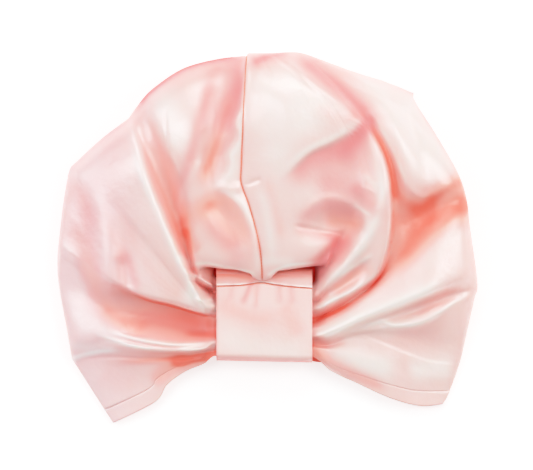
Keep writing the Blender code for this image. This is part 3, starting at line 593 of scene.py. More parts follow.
def root_points(row, side):
    """The (reach, point) pairs where a row starts, in, behind or beside the tab."""
    if isinstance(row, Puff):
        x = place(row.x, 0, 0)[0]
        y, z = tab_face(row.climb)
        return [(0.0, np.array([x, tilted(x, y), z]))]
    if isinstance(row, Pocket):
        x = tab_side(side) + SIDES[side] * POCKET_CLEAR
        z = tab_lift + row.sink * tab_depth
        return [(0.0, np.array([x, tilted(x, row.y * strip_height), z]))]
    clear = TAB_WALL + TUCK_CLEAR
    low = tab_lift + clear + CLOTH_WALL
    high = tab_lift + tab_depth - clear
    z = low + row.pinch * (high - low)
    y = -row.tab * (tab_height - clear)
    inside = tab_side(side) - SIDES[side] * TUCK
    outside = tab_side(side) + SIDES[side] * TUCK_CLEAR
    return [
        (0.0, np.array([inside, tilted(inside, y), z])),
        (ENTRY_REACH, np.array([outside, tilted(outside, y), z])),
    ]


for side in SIDES:
    print(side, "puffs start at", in_mm(root_points(FOLDS[side][-1], side)[0][1]), "mm")

# %% [markdown]
# At its other end a row arrives at the outline and dives straight down, because there the cloth
# rolls under. The hem's row of stitches has no course of its own: it is the mouth's edge, moved
# into the cloth by the hem's width, and by less where the hem is gathered into the tab.

# %% Turn a row of the chart into a line
HEM_WIDTH = 0.012
HEM_GATHER = 0.3
HEM_SPREAD = 0.9
HEM_RIMS = 3
HEM_SAMPLES = 301
EDGE_SAMPLES = 60
RIM_LEVEL = 0.45
RIM_DIVE = 2.7


def rim_top(outline):
    """Rim points with the height of the outline's widest line as z."""
    return outline * np.array([1, 1, RIM_LEVEL])


def rim_place(row, side):
    """Where a row ends on the outline. The hem's stitches end HEM_WIDTH from the tip."""
    if not isinstance(row, Stitch):
        return row.rim
    places = np.linspace(0, HEM_RIMS, HEM_SAMPLES)
    return np.interp(HEM_WIDTH, walked_along(rim_points(side, places)[:, :2]), places)


def stitch_course(row, side):
    """The hem's stitches: the mouth's edge moved HEM_WIDTH into the cloth."""
    edge = FOLDS[side][0]
    points = np.array([place(x, y, z) for _, x, y, z in edge.course])
    tip = rim_points(side, np.array([0.0]))[0, :2]
    way = np.diff(np.vstack([points[:, :2], tip]), axis=0)
    into = np.stack([way[:, 1], -way[:, 0]], axis=1) * -SIDES[side]
    into /= np.linalg.norm(into, axis=1, keepdims=True)
    reaches = [reach for reach, *_ in edge.course]
    gather = HEM_GATHER + (1 - HEM_GATHER) * ease(np.array(reaches) / HEM_SPREAD)
    points[:, :2] += into * HEM_WIDTH * gather[:, None]
    points[:, 2] += row.roll * loft * (1 - np.array(reaches))
    return list(zip(reaches, points))


def row_curve(row, side, reaches):
    """A row's points at the given reaches, arriving at the rim straight down."""
    pairs = root_points(row, side)
    if isinstance(row, Stitch):
        pairs += stitch_course(row, side)
    else:
        pairs += [(reach, place(x, y, z)) for reach, x, y, z in row.course]
    pairs.append((1.0, rim_top(rim_points(side, np.array([rim_place(row, side)])))[0]))
    knots = [reach for reach, _ in pairs]
    points = np.array([point for _, point in pairs])
    drop = (points[-1, 2] - points[-2, 2]) / (knots[-1] - knots[-2])
    down = np.array([0, 0, min(RIM_DIVE * drop, 0)])
    return through(knots, points, reaches, last=down)


for side in SIDES:
    edge = row_curve(FOLDS[side][0], side, np.linspace(0, 1, EDGE_SAMPLES))
    print(side, "mouth edge is", in_mm(walked_along(edge)[-1]), "mm long")

# %% [markdown]
# The big folds leave the cloth too smooth. Real satin also has dents, short creases and soft
# ledges. Each is a stroke: a line of photograph points that is pressed into the front or raised
# from it, and that tapers at both ends. A round stroke is a soft furrow. A ledge ends sharply on
# the right of its direction and fades out slowly on the left, and an edge does the same more
# crisply. Working with strokes is like sculpting, but every mark has a name and can be moved.
# The same strokes serve later to paint light and shade into the cloth's colour.

# %% Press wrinkles into the cloth
Stroke = namedtuple("Stroke", "name kind width depth points")
STROKE_SAMPLES = 40
STROKE_REACH = 3.0
STROKE_TAPER = 0.25
LEDGE_EDGE = 0.3
CRISP_EDGE = 0.0021


def stroke_line(points):
    """A stroke's points evenly sampled along a smooth curve."""
    points = shared_points(points)
    walked = walked_along(points)
    return through(walked / walked[-1], points, np.linspace(0, 1, STROKE_SAMPLES))


def stroke_shares(stroke, plan):
    """A stroke's strength, 0 to 1, at each plan position."""
    line = stroke_line(stroke.points)
    width = stroke.width * MILLIMETRE
    margin = STROKE_REACH * width
    shares = np.zeros(len(plan))
    low, high = line.min(axis=0) - margin, line.max(axis=0) + margin
    near = np.flatnonzero(np.all((plan > low) & (plan < high), axis=1))
    start, step = line[:-1], np.diff(line, axis=0)
    off = plan[near][:, None] - start[None]
    share = np.clip((off * step).sum(axis=2) / (step**2).sum(axis=1), 0, 1)
    apart = off - share[..., None] * step
    away = np.linalg.norm(apart, axis=2)
    best = away.argmin(axis=1)
    rows = np.arange(len(near))
    distance = away[rows, best]
    along = (best + share[rows, best]) / len(step)
    taper = ease(np.minimum(along, 1 - along) / STROKE_TAPER)
    fade = width
    if stroke.kind != "round":
        gap = apart[rows, best]
        way = step[best]
        left = way[:, 0] * gap[:, 1] - way[:, 1] * gap[:, 0] > 0
        fade = np.where(left, width, LEDGE_EDGE * width if stroke.kind == "ledge" else CRISP_EDGE)
    profile = np.exp(-((distance / fade) ** 2))
    shares[near] = profile * taper
    return shares


def stroked(points, strokes):
    """The depths of all strokes added up at each point."""
    plan = points.reshape(-1, 3)[:, :2]
    total = sum(stroke.depth * stroke_shares(stroke, plan) for stroke in strokes)
    return total.reshape(points.shape[:-1])


def wrinkled(points, strokes):
    """Points of the front with every stroke pressed in."""
    points = points.copy()
    points[..., 2] -= stroked(points, strokes) * MILLIMETRE
    return points


print("a stroke is read at", STROKE_SAMPLES, "places")

# %% [markdown]
# On the left the strokes sharpen the main ridge, furrow the puff beside the centre seam, raise the
# pale strip along that seam, undercut the lapel and draw the thin streaks of the low ridge. Widths
# and depths are millimetres, a negative depth is a raised line, and the points are pixels of the
# photograph.

# %% Chart the wrinkles of the left half
STROKES = {}
STROKES["left"] = (
    Stroke("ridge_crest", "round", 3.4, -1.0, (
        (136, 128), (141, 163), (150, 190), (163, 217), (177, 251), (190, 279), (206, 306))),
    Stroke("valley_wide", "round", 8, 2.8, ((151, 134), (159, 164), (170, 195), (186, 236))),
    Stroke("puff_crease", "round", 1.3, 0.9, ((166, 108), (167.5, 130), (169, 152))),
    Stroke("puff_jag", "round", 1.6, -0.8, ((168, 152), (174, 160), (181, 178))),
    Stroke("puff_fold", "round", 4.2, -0.7, ((206, 156), (193, 174), (182, 196), (178, 225))),
    Stroke("puff_furrow", "round", 10, 1.5, ((234, 60), (229, 100), (217, 145), (202, 182))),
    Stroke("low_furrow", "round", 8, 0.4, ((196, 192), (212, 204), (230, 219), (248, 236))),
    Stroke("seam_strip", "round", 3.2, -0.7, (
        (245, 66), (242, 92), (240, 114), (236, 126), (240, 136), (234, 150), (234, 162),
        (226, 176))),
    Stroke("strip_edge", "edge", 6, 0.7, (
        (213, 190), (219, 183), (226, 175), (229, 164), (228, 156), (234, 146), (238, 138),
        (235, 128), (236, 118), (240, 110), (241, 96), (243, 76))),
    Stroke("seam_tip", "round", 3.2, -0.9, ((214, 187), (224, 188), (236, 189), (244, 184))),
    Stroke("seam_side", "round", 2.8, -0.8, (
        (222, 191), (240, 203), (251, 226), (258, 255), (260, 275))),
    Stroke("lapel_hollow", "round", 6, 1.4, ((123, 255), (125, 276), (128, 294))),
    Stroke("lapel_edge", "edge", 5, 1.2, ((222, 320), (188, 308), (153, 299), (124, 291))),
    Stroke("ridge_gap", "round", 1.8, 1.5, (
        (112, 335), (137, 342), (160, 346), (180, 347), (220, 344))),
    Stroke("upper_streak", "round", 1.8, -1.1, (
        (106, 331), (135, 338), (160, 342), (182, 344), (216, 340))),
    Stroke("lower_streak", "round", 1.6, -1.0, (
        (94, 334), (125, 343), (150, 348), (180, 350), (216, 349))),
    Stroke("foot_crease", "round", 1.7, 1.2, (
        (73, 360), (110, 356), (150, 358), (180, 358), (216, 355))),
    Stroke("tip_streak", "round", 1.8, -1.0, ((68, 361), (90, 353), (120, 349))),
    Stroke("flap_crease", "round", 4.0, 0.7, ((182, 360), (167, 371), (154, 382))),
    Stroke("pleat_crease", "round", 1.3, 3.2, ((188, 278), (204, 287), (224, 297))),
    Stroke("pleat_crest", "round", 2.0, -4.0, ((184, 270), (203, 280), (224, 291))),
    Stroke("small_pleat", "round", 1.8, -2.6, ((192, 298), (206, 300), (224, 292))),
    Stroke("flank_wave", "round", 9, -1.2, ((92, 180), (100, 225), (107, 262), (112, 296))),
    Stroke("flank_dip", "round", 8, 1.6, ((70, 215), (82, 262), (98, 304), (125, 322))),
)
print(len(STROKES["left"]), "wrinkles on the left")

# %% [markdown]
# On the right they cut the upper edge of the large dimple, curl the small lens-shaped fold under
# it, sharpen the brow and the hood, dig the wide valley and raise the lips of the low folds.

# %% Chart the wrinkles of the right half
STROKES["right"] = (
    Stroke("seam_pucker", "round", 1.6, 0.9, ((244, 186), (250, 184), (262, 179))),
    Stroke("top_fold", "round", 2.2, 1.0, ((258, 66), (270, 60), (290, 56))),
    Stroke("top_pucker", "round", 1.8, 0.7, ((264, 58), (266, 68), (272, 80))),
    Stroke("dimple_edge", "ledge", 9, 2.0, (
        (366, 123), (356, 131), (346, 139), (330, 148), (311, 157), (292, 174), (280, 182))),
    Stroke("dimple_side", "ledge", 8, 0.8, ((384, 214), (374, 188), (362, 152), (366, 124))),
    Stroke("upper_jag", "round", 1.4, -0.7, ((362, 176), (370, 182), (378, 186))),
    Stroke("lower_jag", "round", 1.4, -0.7, ((358, 188), (368, 190), (378, 196))),
    Stroke("lens_rim", "round", 3.0, -0.8, (
        (299, 228), (306, 212), (320, 200), (340, 200), (356, 208), (365, 222), (364, 240))),
    Stroke("lens_hollow", "round", 7, 1.8, ((318, 214), (338, 216), (358, 226))),
    Stroke("cross_crease", "round", 1.8, 1.2, ((290, 225), (310, 229), (330, 233), (346, 234))),
    Stroke("down_crease", "round", 3.2, 2.2, ((350, 226), (338, 242), (326, 255), (312, 266))),
    Stroke("brow_crest", "round", 3.6, -1.3, (
        (308, 298), (332, 281), (351, 259), (366, 238), (378, 213), (384, 190), (382, 160),
        (374, 132))),
    Stroke("hood_dip", "round", 4.5, 1.6, ((312, 303), (338, 287), (356, 273), (370, 254))),
    Stroke("hood_streak", "round", 1.6, -0.8, ((340, 276), (356, 264), (372, 254))),
    Stroke("hood_crest", "round", 1.9, -1.1, (
        (308, 313), (338, 297), (357, 288), (371, 279), (381, 267), (387, 245), (390, 215),
        (390, 190))),
    Stroke("hood_line", "round", 1.5, 1.0, (
        (304, 322), (330, 314), (352, 302), (370, 288), (382, 272), (391, 246))),
    Stroke("low_crest", "round", 5.5, -1.3, (
        (308, 342), (338, 328), (363, 317), (389, 306), (414, 296), (445, 280))),
    Stroke("swoosh_dip", "round", 4.2, 1.2, ((384, 313), (408, 314), (432, 303), (462, 284))),
    Stroke("swoosh_crest", "round", 2.0, -1.3, (
        (358, 330), (381, 321), (396, 325), (414, 324), (433, 315), (452, 302), (472, 290))),
    Stroke("hem_seam", "ledge", 3.5, 0.45, (
        (350, 329), (376, 339), (401, 349), (427, 359), (462, 363))),
    Stroke("wide_dig", "round", 9, 3.0, ((388, 232), (412, 217), (436, 208), (474, 196))),
    Stroke("wide_side", "round", 8, 1.5, ((412, 226), (434, 210), (452, 200), (482, 186))),
    Stroke("panel_lip", "round", 2.0, -1.2, ((404, 185), (420, 197), (438, 191), (458, 179))),
    Stroke("panel_wave", "round", 5, 1.4, ((404, 120), (412, 145), (424, 170), (430, 186))),
    Stroke("panel_crinkle", "round", 1.8, -0.6, ((411, 164), (426, 158), (442, 164))),
    Stroke("flap_dip", "round", 6, 1.0, ((392, 372), (412, 366), (436, 372))),
)
print(len(STROKES["right"]), "wrinkles on the right")

# %% [markdown]
# Light that falls into a hollow bounces between layers of pink cloth and comes out warmer. That glow
# is much wider than the hollow's own shadow, and it is what makes satin look alive, so it is painted
# into the colour. Its opposite is a painted highlight, the pale bloom on cloth that is pulled smooth
# over a swell. Both are charted with strokes too. Here the depth is the share of painted glow that
# is added, salmon from a half on, and a share below zero is painted highlight.

# %% Chart the painted glow and highlights of the left half
PAINTED_LIGHT_STROKES = {}
PAINTED_LIGHT_STROKES["left"] = (
    Stroke("puff_bloom", "round", 11, -0.36, ((150, 84), (166, 108), (178, 138), (186, 160))),
    Stroke("strip_bloom", "edge", 7, -0.60, (
        (246, 54), (243, 76), (241, 96), (240, 110), (236, 118), (235, 128), (238, 138), (234, 146),
        (228, 156), (229, 164), (226, 175), (219, 183), (212, 190))),
    Stroke("low_streak", "edge", 8, 0.46, (
        (266, 268), (253, 234), (241, 210), (229, 199), (208, 191))),
    Stroke("ridge_bloom", "round", 4.2, -0.42, (
        (134, 120), (141, 163), (150, 190), (163, 217), (177, 251), (190, 279), (210, 312))),
    Stroke("side_bloom", "round", 3.6, -0.42, (
        (220, 188), (240, 203), (251, 226), (258, 255), (261, 280))),
    Stroke("fold_bloom", "round", 2.6, -0.25, ((208, 150), (193, 174), (182, 196), (178, 228))),
    Stroke("upper_bloom", "round", 1.8, -0.40, (
        (98, 326), (135, 338), (160, 342), (182, 344), (222, 340))),
    Stroke("lower_bloom", "round", 1.6, -0.40, (
        (90, 330), (125, 343), (150, 348), (180, 350), (222, 349))),
    Stroke("tip_streak", "round", 2.0, -0.40, ((64, 362), (90, 353), (124, 349))),
    Stroke("pleat_bloom", "round", 1.4, -0.40, ((188, 272), (204, 282), (222, 292))),
    Stroke("lip_bloom", "round", 1.3, -0.45, (
        (186, 268), (204, 263), (226, 267), (250, 272), (264, 282))),
    Stroke("flank_bloom", "round", 6, -0.16, ((92, 180), (100, 225), (107, 262), (112, 296))),
    Stroke("left_pocket", "round", 5, 0.45, ((184, 226), (189, 236), (195, 246), (200, 254))),
    Stroke("pocket_lip", "round", 3, -0.40, ((176, 254), (186, 260), (196, 264), (206, 264))),
    Stroke("lapel_root", "round", 8, -0.60, ((180, 286), (200, 298), (212, 306), (234, 318))),
    Stroke("ridge_foot", "round", 2.6, 0.30, ((180, 333), (198, 334), (214, 335), (238, 336))),
    Stroke("ridge_root", "round", 3, -0.50, ((176, 348), (196, 347), (212, 345), (232, 343))),
    Stroke("valley_end", "round", 6, 0.30, ((98, 296), (112, 314), (130, 326), (156, 330))),
    Stroke("flank_light", "round", 6, -0.16, ((66, 240), (76, 262), (84, 284), (90, 300))),
    Stroke("puff_low", "round", 11, 0.50, ((196, 200), (210, 212), (226, 228), (242, 252))),
    Stroke("puff_root", "round", 8, 0.36, (
        (176, 242), (186, 222), (197, 208), (210, 204), (224, 212))),
    Stroke("lapel_shadow", "edge", 9, 0.18, (
        (240, 326), (216, 318), (188, 308), (153, 299), (118, 289))),
    Stroke("lapel_side", "ledge", 9, 0.18, ((129, 300), (127, 284), (124, 268), (120, 244))),
    Stroke("ridge_gap", "round", 1.8, 0.34, (
        (112, 335), (137, 342), (160, 346), (180, 347), (222, 344))),
    Stroke("flank_warm", "round", 9, 0.22, ((66, 174), (90, 205), (112, 235), (130, 266))),
    Stroke("foot_bloom", "round", 4, -0.22, ((62, 344), (90, 347), (120, 348), (160, 351))),
    Stroke("puff_streak", "round", 6, 0.70, (
        (240, 84), (226, 118), (217, 146), (208, 170), (200, 196))),
    Stroke("valley_top", "round", 9, 0.17, (
        (148, 104), (153, 132), (160, 162), (168, 192), (174, 214), (182, 240))),
    Stroke("lapel_valley", "round", 10, 0.34, (
        (66, 190), (78, 235), (92, 276), (108, 308), (135, 320), (175, 325), (240, 332))),
    Stroke("valley_heart", "round", 6, 0.20, ((104, 306), (135, 314), (175, 320), (240, 328))),
    Stroke("low_flap", "round", 12, 0.08, ((96, 372), (118, 384), (140, 388))),
    Stroke("foot_glow", "round", 2.6, 0.42, ((110, 362), (150, 360), (190, 356), (240, 352))),
    Stroke("foot_wedge", "round", 3.2, 0.8, ((166, 365), (190, 361), (208, 357), (240, 352))),
    Stroke("flap_glow", "round", 6, 0.42, ((192, 356), (172, 366), (150, 386))),
    Stroke("ridge_side", "round", 5, 0.12, ((118, 200), (135, 240), (160, 280), (200, 312))),
)
print(len(PAINTED_LIGHT_STROKES["left"]), "glows on the left")

# %% [markdown]
# The right half has the strongest painted glow of all, in the wide valley and in the crescent above
# it, between broad swells whose painted highlights are nearly white.

# %% Chart the painted glow and highlights of the right half
PAINTED_LIGHT_STROKES["right"] = (
    Stroke("crown_bloom", "round", 15, -0.26, ((262, 62), (268, 96), (276, 130), (284, 166))),
    Stroke("lip_root", "round", 4, -0.30, ((244, 268), (262, 262), (282, 262), (300, 262))),
    Stroke("brow_root", "round", 5, -0.30, ((298, 302), (314, 286), (328, 274), (342, 262))),
    Stroke("hood_root", "round", 5, -0.50, ((298, 306), (312, 304), (326, 299), (340, 292))),
    Stroke("under_ridge", "round", 9, -0.34, (
        (300, 344), (340, 336), (376, 328), (404, 316), (430, 306))),
    Stroke("wide_upper", "round", 6, 0.36, ((384, 184), (402, 200), (420, 209), (440, 202))),
    Stroke("wide_tip", "round", 6, 0.44, ((420, 206), (440, 190), (456, 182), (476, 182))),
    Stroke("middle_bloom", "round", 13, -0.26, ((270, 140), (280, 166), (296, 180), (330, 184))),
    Stroke("brow_peach", "round", 6, 0.30, ((312, 106), (334, 116), (352, 118), (376, 112))),
    Stroke("puff_bloom", "round", 13, -0.32, ((282, 60), (300, 92), (306, 118), (310, 146))),
    Stroke("upper_bloom", "round", 7, -0.25, ((312, 92), (332, 108), (352, 118))),
    Stroke("seam_bloom", "round", 4.5, -0.30, ((256, 182), (266, 205), (270, 235), (272, 268))),
    Stroke("brow_bloom", "round", 4.2, -0.42, (
        (306, 300), (332, 281), (351, 259), (366, 238), (376, 213), (380, 190), (375, 160),
        (368, 128))),
    Stroke("hood_bloom", "round", 1.8, -0.40, (
        (304, 315), (338, 297), (357, 288), (371, 279), (381, 267), (387, 245), (389, 215),
        (389, 185))),
    Stroke("hood_streak", "round", 1.8, -0.35, ((336, 278), (356, 264), (374, 252))),
    Stroke("panel_bloom", "round", 12, -0.40, ((345, 66), (386, 100), (412, 140), (432, 190))),
    Stroke("panel_side", "round", 9, -0.32, ((396, 84), (424, 124), (444, 160), (456, 184))),
    Stroke("low_bloom", "round", 6, -0.52, (
        (306, 344), (338, 328), (363, 317), (389, 306), (414, 296), (452, 276))),
    Stroke("swoosh_bloom", "round", 1.9, -0.40, (
        (352, 332), (381, 321), (396, 325), (414, 324), (433, 315), (452, 302), (474, 288))),
    Stroke("flap_bloom", "round", 10, -0.50, ((320, 344), (350, 358), (376, 366), (402, 370))),
    Stroke("tip_bloom", "round", 9, -0.36, ((404, 372), (428, 368), (456, 368))),
    Stroke("side_bloom", "round", 7, -0.16, ((400, 280), (425, 258), (450, 236), (470, 225))),
    Stroke("lens_bloom", "round", 1.4, -0.45, ((350, 203), (362, 211), (372, 217))),
    Stroke("jag_bloom", "round", 1.6, -0.35, ((360, 174), (370, 183), (378, 190))),
    Stroke("lip_bloom", "round", 1.3, -0.45, (
        (262, 282), (272, 272), (289, 265), (316, 262), (333, 255))),
    Stroke("dimple_rim", "round", 3, -0.40, ((374, 112), (345, 133), (310, 150), (284, 170))),
    Stroke("hood_lip", "round", 2.2, -0.36, ((298, 319), (326, 309), (346, 298), (366, 284))),
    Stroke("hood_line", "round", 1.3, 0.30, (
        (304, 322), (330, 314), (352, 302), (370, 288), (382, 272), (391, 246))),
    Stroke("hood_wedge", "round", 3.2, 0.40, ((290, 328), (316, 319), (334, 311), (354, 300))),
    Stroke("crescent", "round", 2.8, 0.95, (
        (358, 108), (370, 128), (380, 145), (387, 160), (392, 180), (395, 206))),
    Stroke("panel_lip", "round", 1.8, -0.40, (
        (366, 108), (382, 134), (391, 152), (399, 170), (408, 190))),
    Stroke("wide_rim", "round", 2.6, -0.45, ((458, 166), (466, 190), (471, 212), (474, 240))),
    Stroke("fold_dark", "round", 4, 0.40, ((308, 276), (322, 258), (334, 244), (341, 230))),
    Stroke("lens_heart", "round", 6, 0.40, ((322, 222), (342, 222), (366, 228))),
    Stroke("seam_streak", "round", 5, 0.20, ((266, 172), (272, 205), (284, 245))),
    Stroke("down_glow", "round", 4.5, 0.30, ((352, 230), (338, 244), (322, 258), (304, 270))),
    Stroke("hood_peach", "round", 5, 0.36, ((304, 306), (330, 290), (352, 276), (372, 262))),
    Stroke("wide_top", "round", 14, 0.44, ((372, 236), (410, 220), (438, 208), (510, 180))),
    Stroke("wide_heart", "round", 10, 0.56, (
        (486, 192), (454, 212), (432, 230), (412, 250), (392, 280))),
    Stroke("wide_low", "round", 9, 0.20, ((430, 200), (408, 238), (388, 270), (360, 300))),
    Stroke("swoosh_light", "round", 5, -0.10, ((374, 326), (400, 322), (424, 310))),
    Stroke("flap_edge", "round", 5, 0.48, ((306, 348), (330, 360), (358, 374), (392, 390))),
    Stroke("flap_root", "round", 7, 0.30, ((300, 346), (328, 344), (350, 338))),
)
print(len(PAINTED_LIGHT_STROKES["right"]), "glows on the right")

# %% [markdown]
# Cloth that turns away from all lamps isn't salmon but a dusky rose, and it loses its shine. That
# shade is painted, in a second chart of colour. On the left it follows the rim, the puff's furrow
# and the flank.

# %% Chart the painted shade of the left half
PAINTED_SHADE_STROKES = {}
PAINTED_SHADE_STROKES["left"] = (
    Stroke("rim_edge", "round", 3.2, 1.0, (
        (122, 124), (139, 105), (153, 90), (183, 70), (217, 60), (250, 56))),
    Stroke("rim_soft", "round", 7, 0.34, ((128, 130), (150, 102), (180, 78), (215, 68), (252, 62))),
    Stroke("corner_edge", "round", 2.0, 0.7, ((62, 176), (84, 152), (104, 137), (134, 117))),
    Stroke("low_valley", "round", 8, 0.30, ((128, 316), (156, 320), (190, 328), (240, 334))),
    Stroke("puff_shadow", "round", 6, 0.60, (
        (218, 58), (207, 100), (198, 135), (186, 180), (180, 216))),
    Stroke("puff_dusk", "round", 12, 0.58, ((244, 30), (236, 80), (226, 112), (212, 150))),
    Stroke("puff_pink", "round", 9, 0.42, ((200, 222), (220, 232), (234, 248), (240, 272))),
    Stroke("flank_rose", "round", 14, 0.22, ((118, 116), (116, 150), (112, 190), (110, 236))),
    Stroke("lapel_grey", "round", 4.5, 0.50, ((122, 244), (130, 262), (136, 280), (138, 296))),
    Stroke("strip_side", "edge", 7, 0.46, (
        (213, 190), (219, 183), (226, 175), (229, 164), (228, 156), (234, 146), (238, 138),
        (235, 128), (236, 118), (240, 110), (241, 96), (243, 76), (245, 58))),
    Stroke("lilac_flank", "round", 9, 0.26, ((74, 190), (100, 240), (108, 270), (118, 292))),
)
print(len(PAINTED_SHADE_STROKES["left"]), "dusks on the left")

# %% [markdown]
# On the right the painted shade lies in the long band under the upper panel, in the large dimple, in
# the lens-shaped fold and where the folds run down behind the tab.

# %% Chart the painted shade of the right half
PAINTED_SHADE_STROKES["right"] = (
    Stroke("top_fold", "round", 5.5, 0.90, ((246, 70), (266, 59), (294, 52))),
    Stroke("band", "round", 8.5, 0.85, ((284, 50), (312, 70), (337, 90), (358, 108), (378, 134))),
    Stroke("dimple_top", "ledge", 12, 0.74, (
        (386, 110), (368, 123), (348, 140), (331, 150), (312, 158), (293, 175), (272, 188))),
    Stroke("dimple_corner", "round", 9, 0.24, ((374, 108), (362, 130), (350, 150), (336, 172))),
    Stroke("lens_root", "round", 6, 0.60, (
        (300, 290), (318, 264), (330, 248), (336, 236), (334, 222))),
    Stroke("dimple_heart", "round", 16, 0.44, ((386, 150), (358, 168), (336, 180), (306, 182))),
    Stroke("lens_fold", "round", 6, 0.60, ((308, 284), (326, 262), (341, 246), (350, 228))),
    Stroke("dimple_foot", "round", 8, 0.20, ((396, 218), (362, 198), (330, 187), (286, 180))),
    Stroke("dimple_low", "round", 7, 0.36, ((346, 182), (360, 194), (370, 206), (376, 224))),
    Stroke("lens_foot", "round", 4, 0.46, ((290, 226), (306, 232), (322, 236), (338, 240))),
    Stroke("lens", "round", 6, 0.50, ((296, 230), (308, 214), (326, 206), (346, 210), (362, 222))),
    Stroke("corner_edge", "round", 1.8, 0.6, (
        (384, 80), (413, 93), (424, 116), (440, 142), (462, 180))),
    Stroke("flap_dusk", "round", 8, 0.08, ((390, 335), (415, 342), (445, 338))),
)
print(len(PAINTED_SHADE_STROKES["right"]), "dusks on the right")

# %% [markdown]
# A few hollows and swells are too broad to be strokes. They are oval: each has a long and a short
# distance at which it fades, and a direction.

# %% Chart the broad dents
Dent = namedtuple("Dent", "name x y long short turn depth")
DENTS = {
    "left": (
        Dent("flank_trough", -0.895, 0.110, 0.24, 0.07, 84, 0.07),
        Dent("flank_swell", -0.760, 0.100, 0.20, 0.08, 90, -0.05),
        Dent("lapel_stop", -0.672, 0.080, 0.16, 0.04, 86, 0.06),
        Dent("puff_dip", -0.215, 0.305, 0.14, 0.05, -38, 0.05),
    ),
    "right": (
        Dent("upper_dimple", 0.330, 0.515, 0.24, 0.13, 32, 0.09),
        Dent("lower_dimple", 0.320, 0.262, 0.15, 0.06, 8, 0.07),
        Dent("flap_hollow", 0.730, -0.430, 0.18, 0.07, -10, 0.03),
        Dent("panel_swell", 0.720, 0.520, 0.16, 0.12, 60, -0.05),
    ),
}


def dented(points, side):
    """The front with its broad dents pressed in."""
    points = points.copy()
    for dent in DENTS[side]:
        centre = place(dent.x, dent.y, 0)
        turn = math.radians(dent.turn)
        off = points[..., :2] - centre[:2]
        along = off[..., 0] * math.cos(turn) + off[..., 1] * math.sin(turn)
        aside = off[..., 1] * math.cos(turn) - off[..., 0] * math.sin(turn)
        reach = (along / dent.long) ** 2 + (aside / dent.short) ** 2
        points[..., 2] -= dent.depth * loft * np.exp(-reach / half_width**2)
    return points


print(sum(len(dents) for dents in DENTS.values()), "broad dents")

# %% [markdown]
# The tab's seam isn't straight: it is puckered, and the crown's centre seam pulls its middle up.
# The same pull moves the tab, the strip above it and the cloth that lies on it, so it is one
# function for all of them.

# %% Pull up the middle of the tab's seam
TAB_SEAM = ((216.5, 285.2), (228, 285), (240, 284.6), (251, 283.2), (257, 282), (265, 282),
            (273, 283.6), (285, 285.2), (298, 286.4), (312, 287.4))
PULL_REACH = 0.006
PULL_FADE = 0.004
tab_seam = shared_points(TAB_SEAM)


def puckered(points):
    """Points near the front of the tab's seam moved with its middle's pull."""
    points = points.copy()
    x, y, z = points[..., 0], points[..., 1], points[..., 2]
    pull = np.interp(x, tab_seam[:, 0], tab_seam[:, 1]) - tilted(x, 0)
    beside = np.maximum(np.abs(x - tab_offset) - tab_width / 2, 0)
    near = np.exp(-((tilted(x, 0) - y) / PULL_REACH) ** 2 - (beside / PULL_FADE) ** 2)
    front = ease((z - tab_lift) / tab_depth)
    points[..., 1] += pull * near * front
    return points


print("the pull is up to", in_mm((tab_seam[:, 1] - tilted(tab_seam[:, 0], 0)).max()), "mm")

# %% [markdown]
# With lines and wrinkles in place the sheet can be drawn. Columns run from the tab to the rim,
# round it and back along the floor to the seam at the centre back. One lies on each row, and more
# lie between rows that are far apart, so that no wrinkle falls between two columns.

# %% Lay out the columns
COLUMN_PITCH = 0.0012
PITCH_REACH = 0.7
FRONT_STEPS = ((0, 0), (0.045, 8), (0.13, 14), (0.30, 24), (0.97, 88), (1, 8))

front_reaches = np.concatenate([[0.0], *(
    np.linspace(start, end, count + 1)[1:]
    for (start, _), (end, count) in zip(FRONT_STEPS[:-1], FRONT_STEPS[1:]))])
front_part = slice(0, len(front_reaches))


def column_places(side):
    """Where the columns run, as places between the rows."""
    middle = np.array([row_curve(row, side, np.array([PITCH_REACH]))[0] for row in FOLDS[side]])
    at = [0.0]
    for index, width in enumerate(np.linalg.norm(np.diff(middle, axis=0), axis=1)):
        count = max(2, round(width / COLUMN_PITCH))
        at += [index + (step + 1) / count for step in range(count)]
    return np.array(at)


columns_at = {side: column_places(side) for side in SIDES}
stitches_at = {side: int(np.flatnonzero(np.isclose(at, 1))[0]) for side, at in columns_at.items()}
print({side: len(at) for side, at in columns_at.items()}, "columns")

# %% [markdown]
# Even where satin lies flat it isn't perfectly smooth: faint, uneven waves run along the folds
# and break up the shine. A few sine waves of different widths and lengths are enough. They are
# only hundredths of a millimetre high, and their random numbers are seeded, so that every run
# gives the same cloth.

# %% Ripple the cloth
RIPPLES = 9
RIPPLE_DEPTH = 0.00002 / 3
RIPPLE_ACROSS = (0.006, 0.016)
RIPPLE_ALONG = (0.06, 0.16)
RIPPLE_PHASE = 6
RIPPLE_START = 1 / 3
FADE_TURN = 9
FADE_WIDTH = 0.03
MEASURED_AT = 2 / 3
SHEET_LENGTH = 0.2


def rippled(grid, side):
    """The front with fine uneven waves that run along the folds."""
    wander = np.random.default_rng(len(side))
    measured = grid[:, int(MEASURED_AT * len(front_reaches))]
    across_way = walked_along(measured)[:, None]
    along_way = front_reaches[None] * SHEET_LENGTH
    ripple = 0
    for _ in range(RIPPLES):
        width = wander.uniform(*RIPPLE_ACROSS)
        length = wander.uniform(*RIPPLE_ALONG) * wander.choice([-1, 1])
        drift = front_reaches[None] * FADE_TURN + across_way / FADE_WIDTH
        fade = 1 + np.sin(drift + wander.uniform(0, RIPPLE_PHASE))
        turns = across_way / width + along_way / length
        ripple = ripple + fade * np.sin(2 * math.pi * turns + wander.uniform(0, RIPPLE_PHASE))
    points = grid.copy()
    points[..., 2] += RIPPLE_DEPTH * ripple * ease(front_reaches / RIPPLE_START)
    return points


print(RIPPLES, "waves of", in_mm(RIPPLE_ACROSS[0]), "to", in_mm(RIPPLE_ACROSS[1]), "mm")

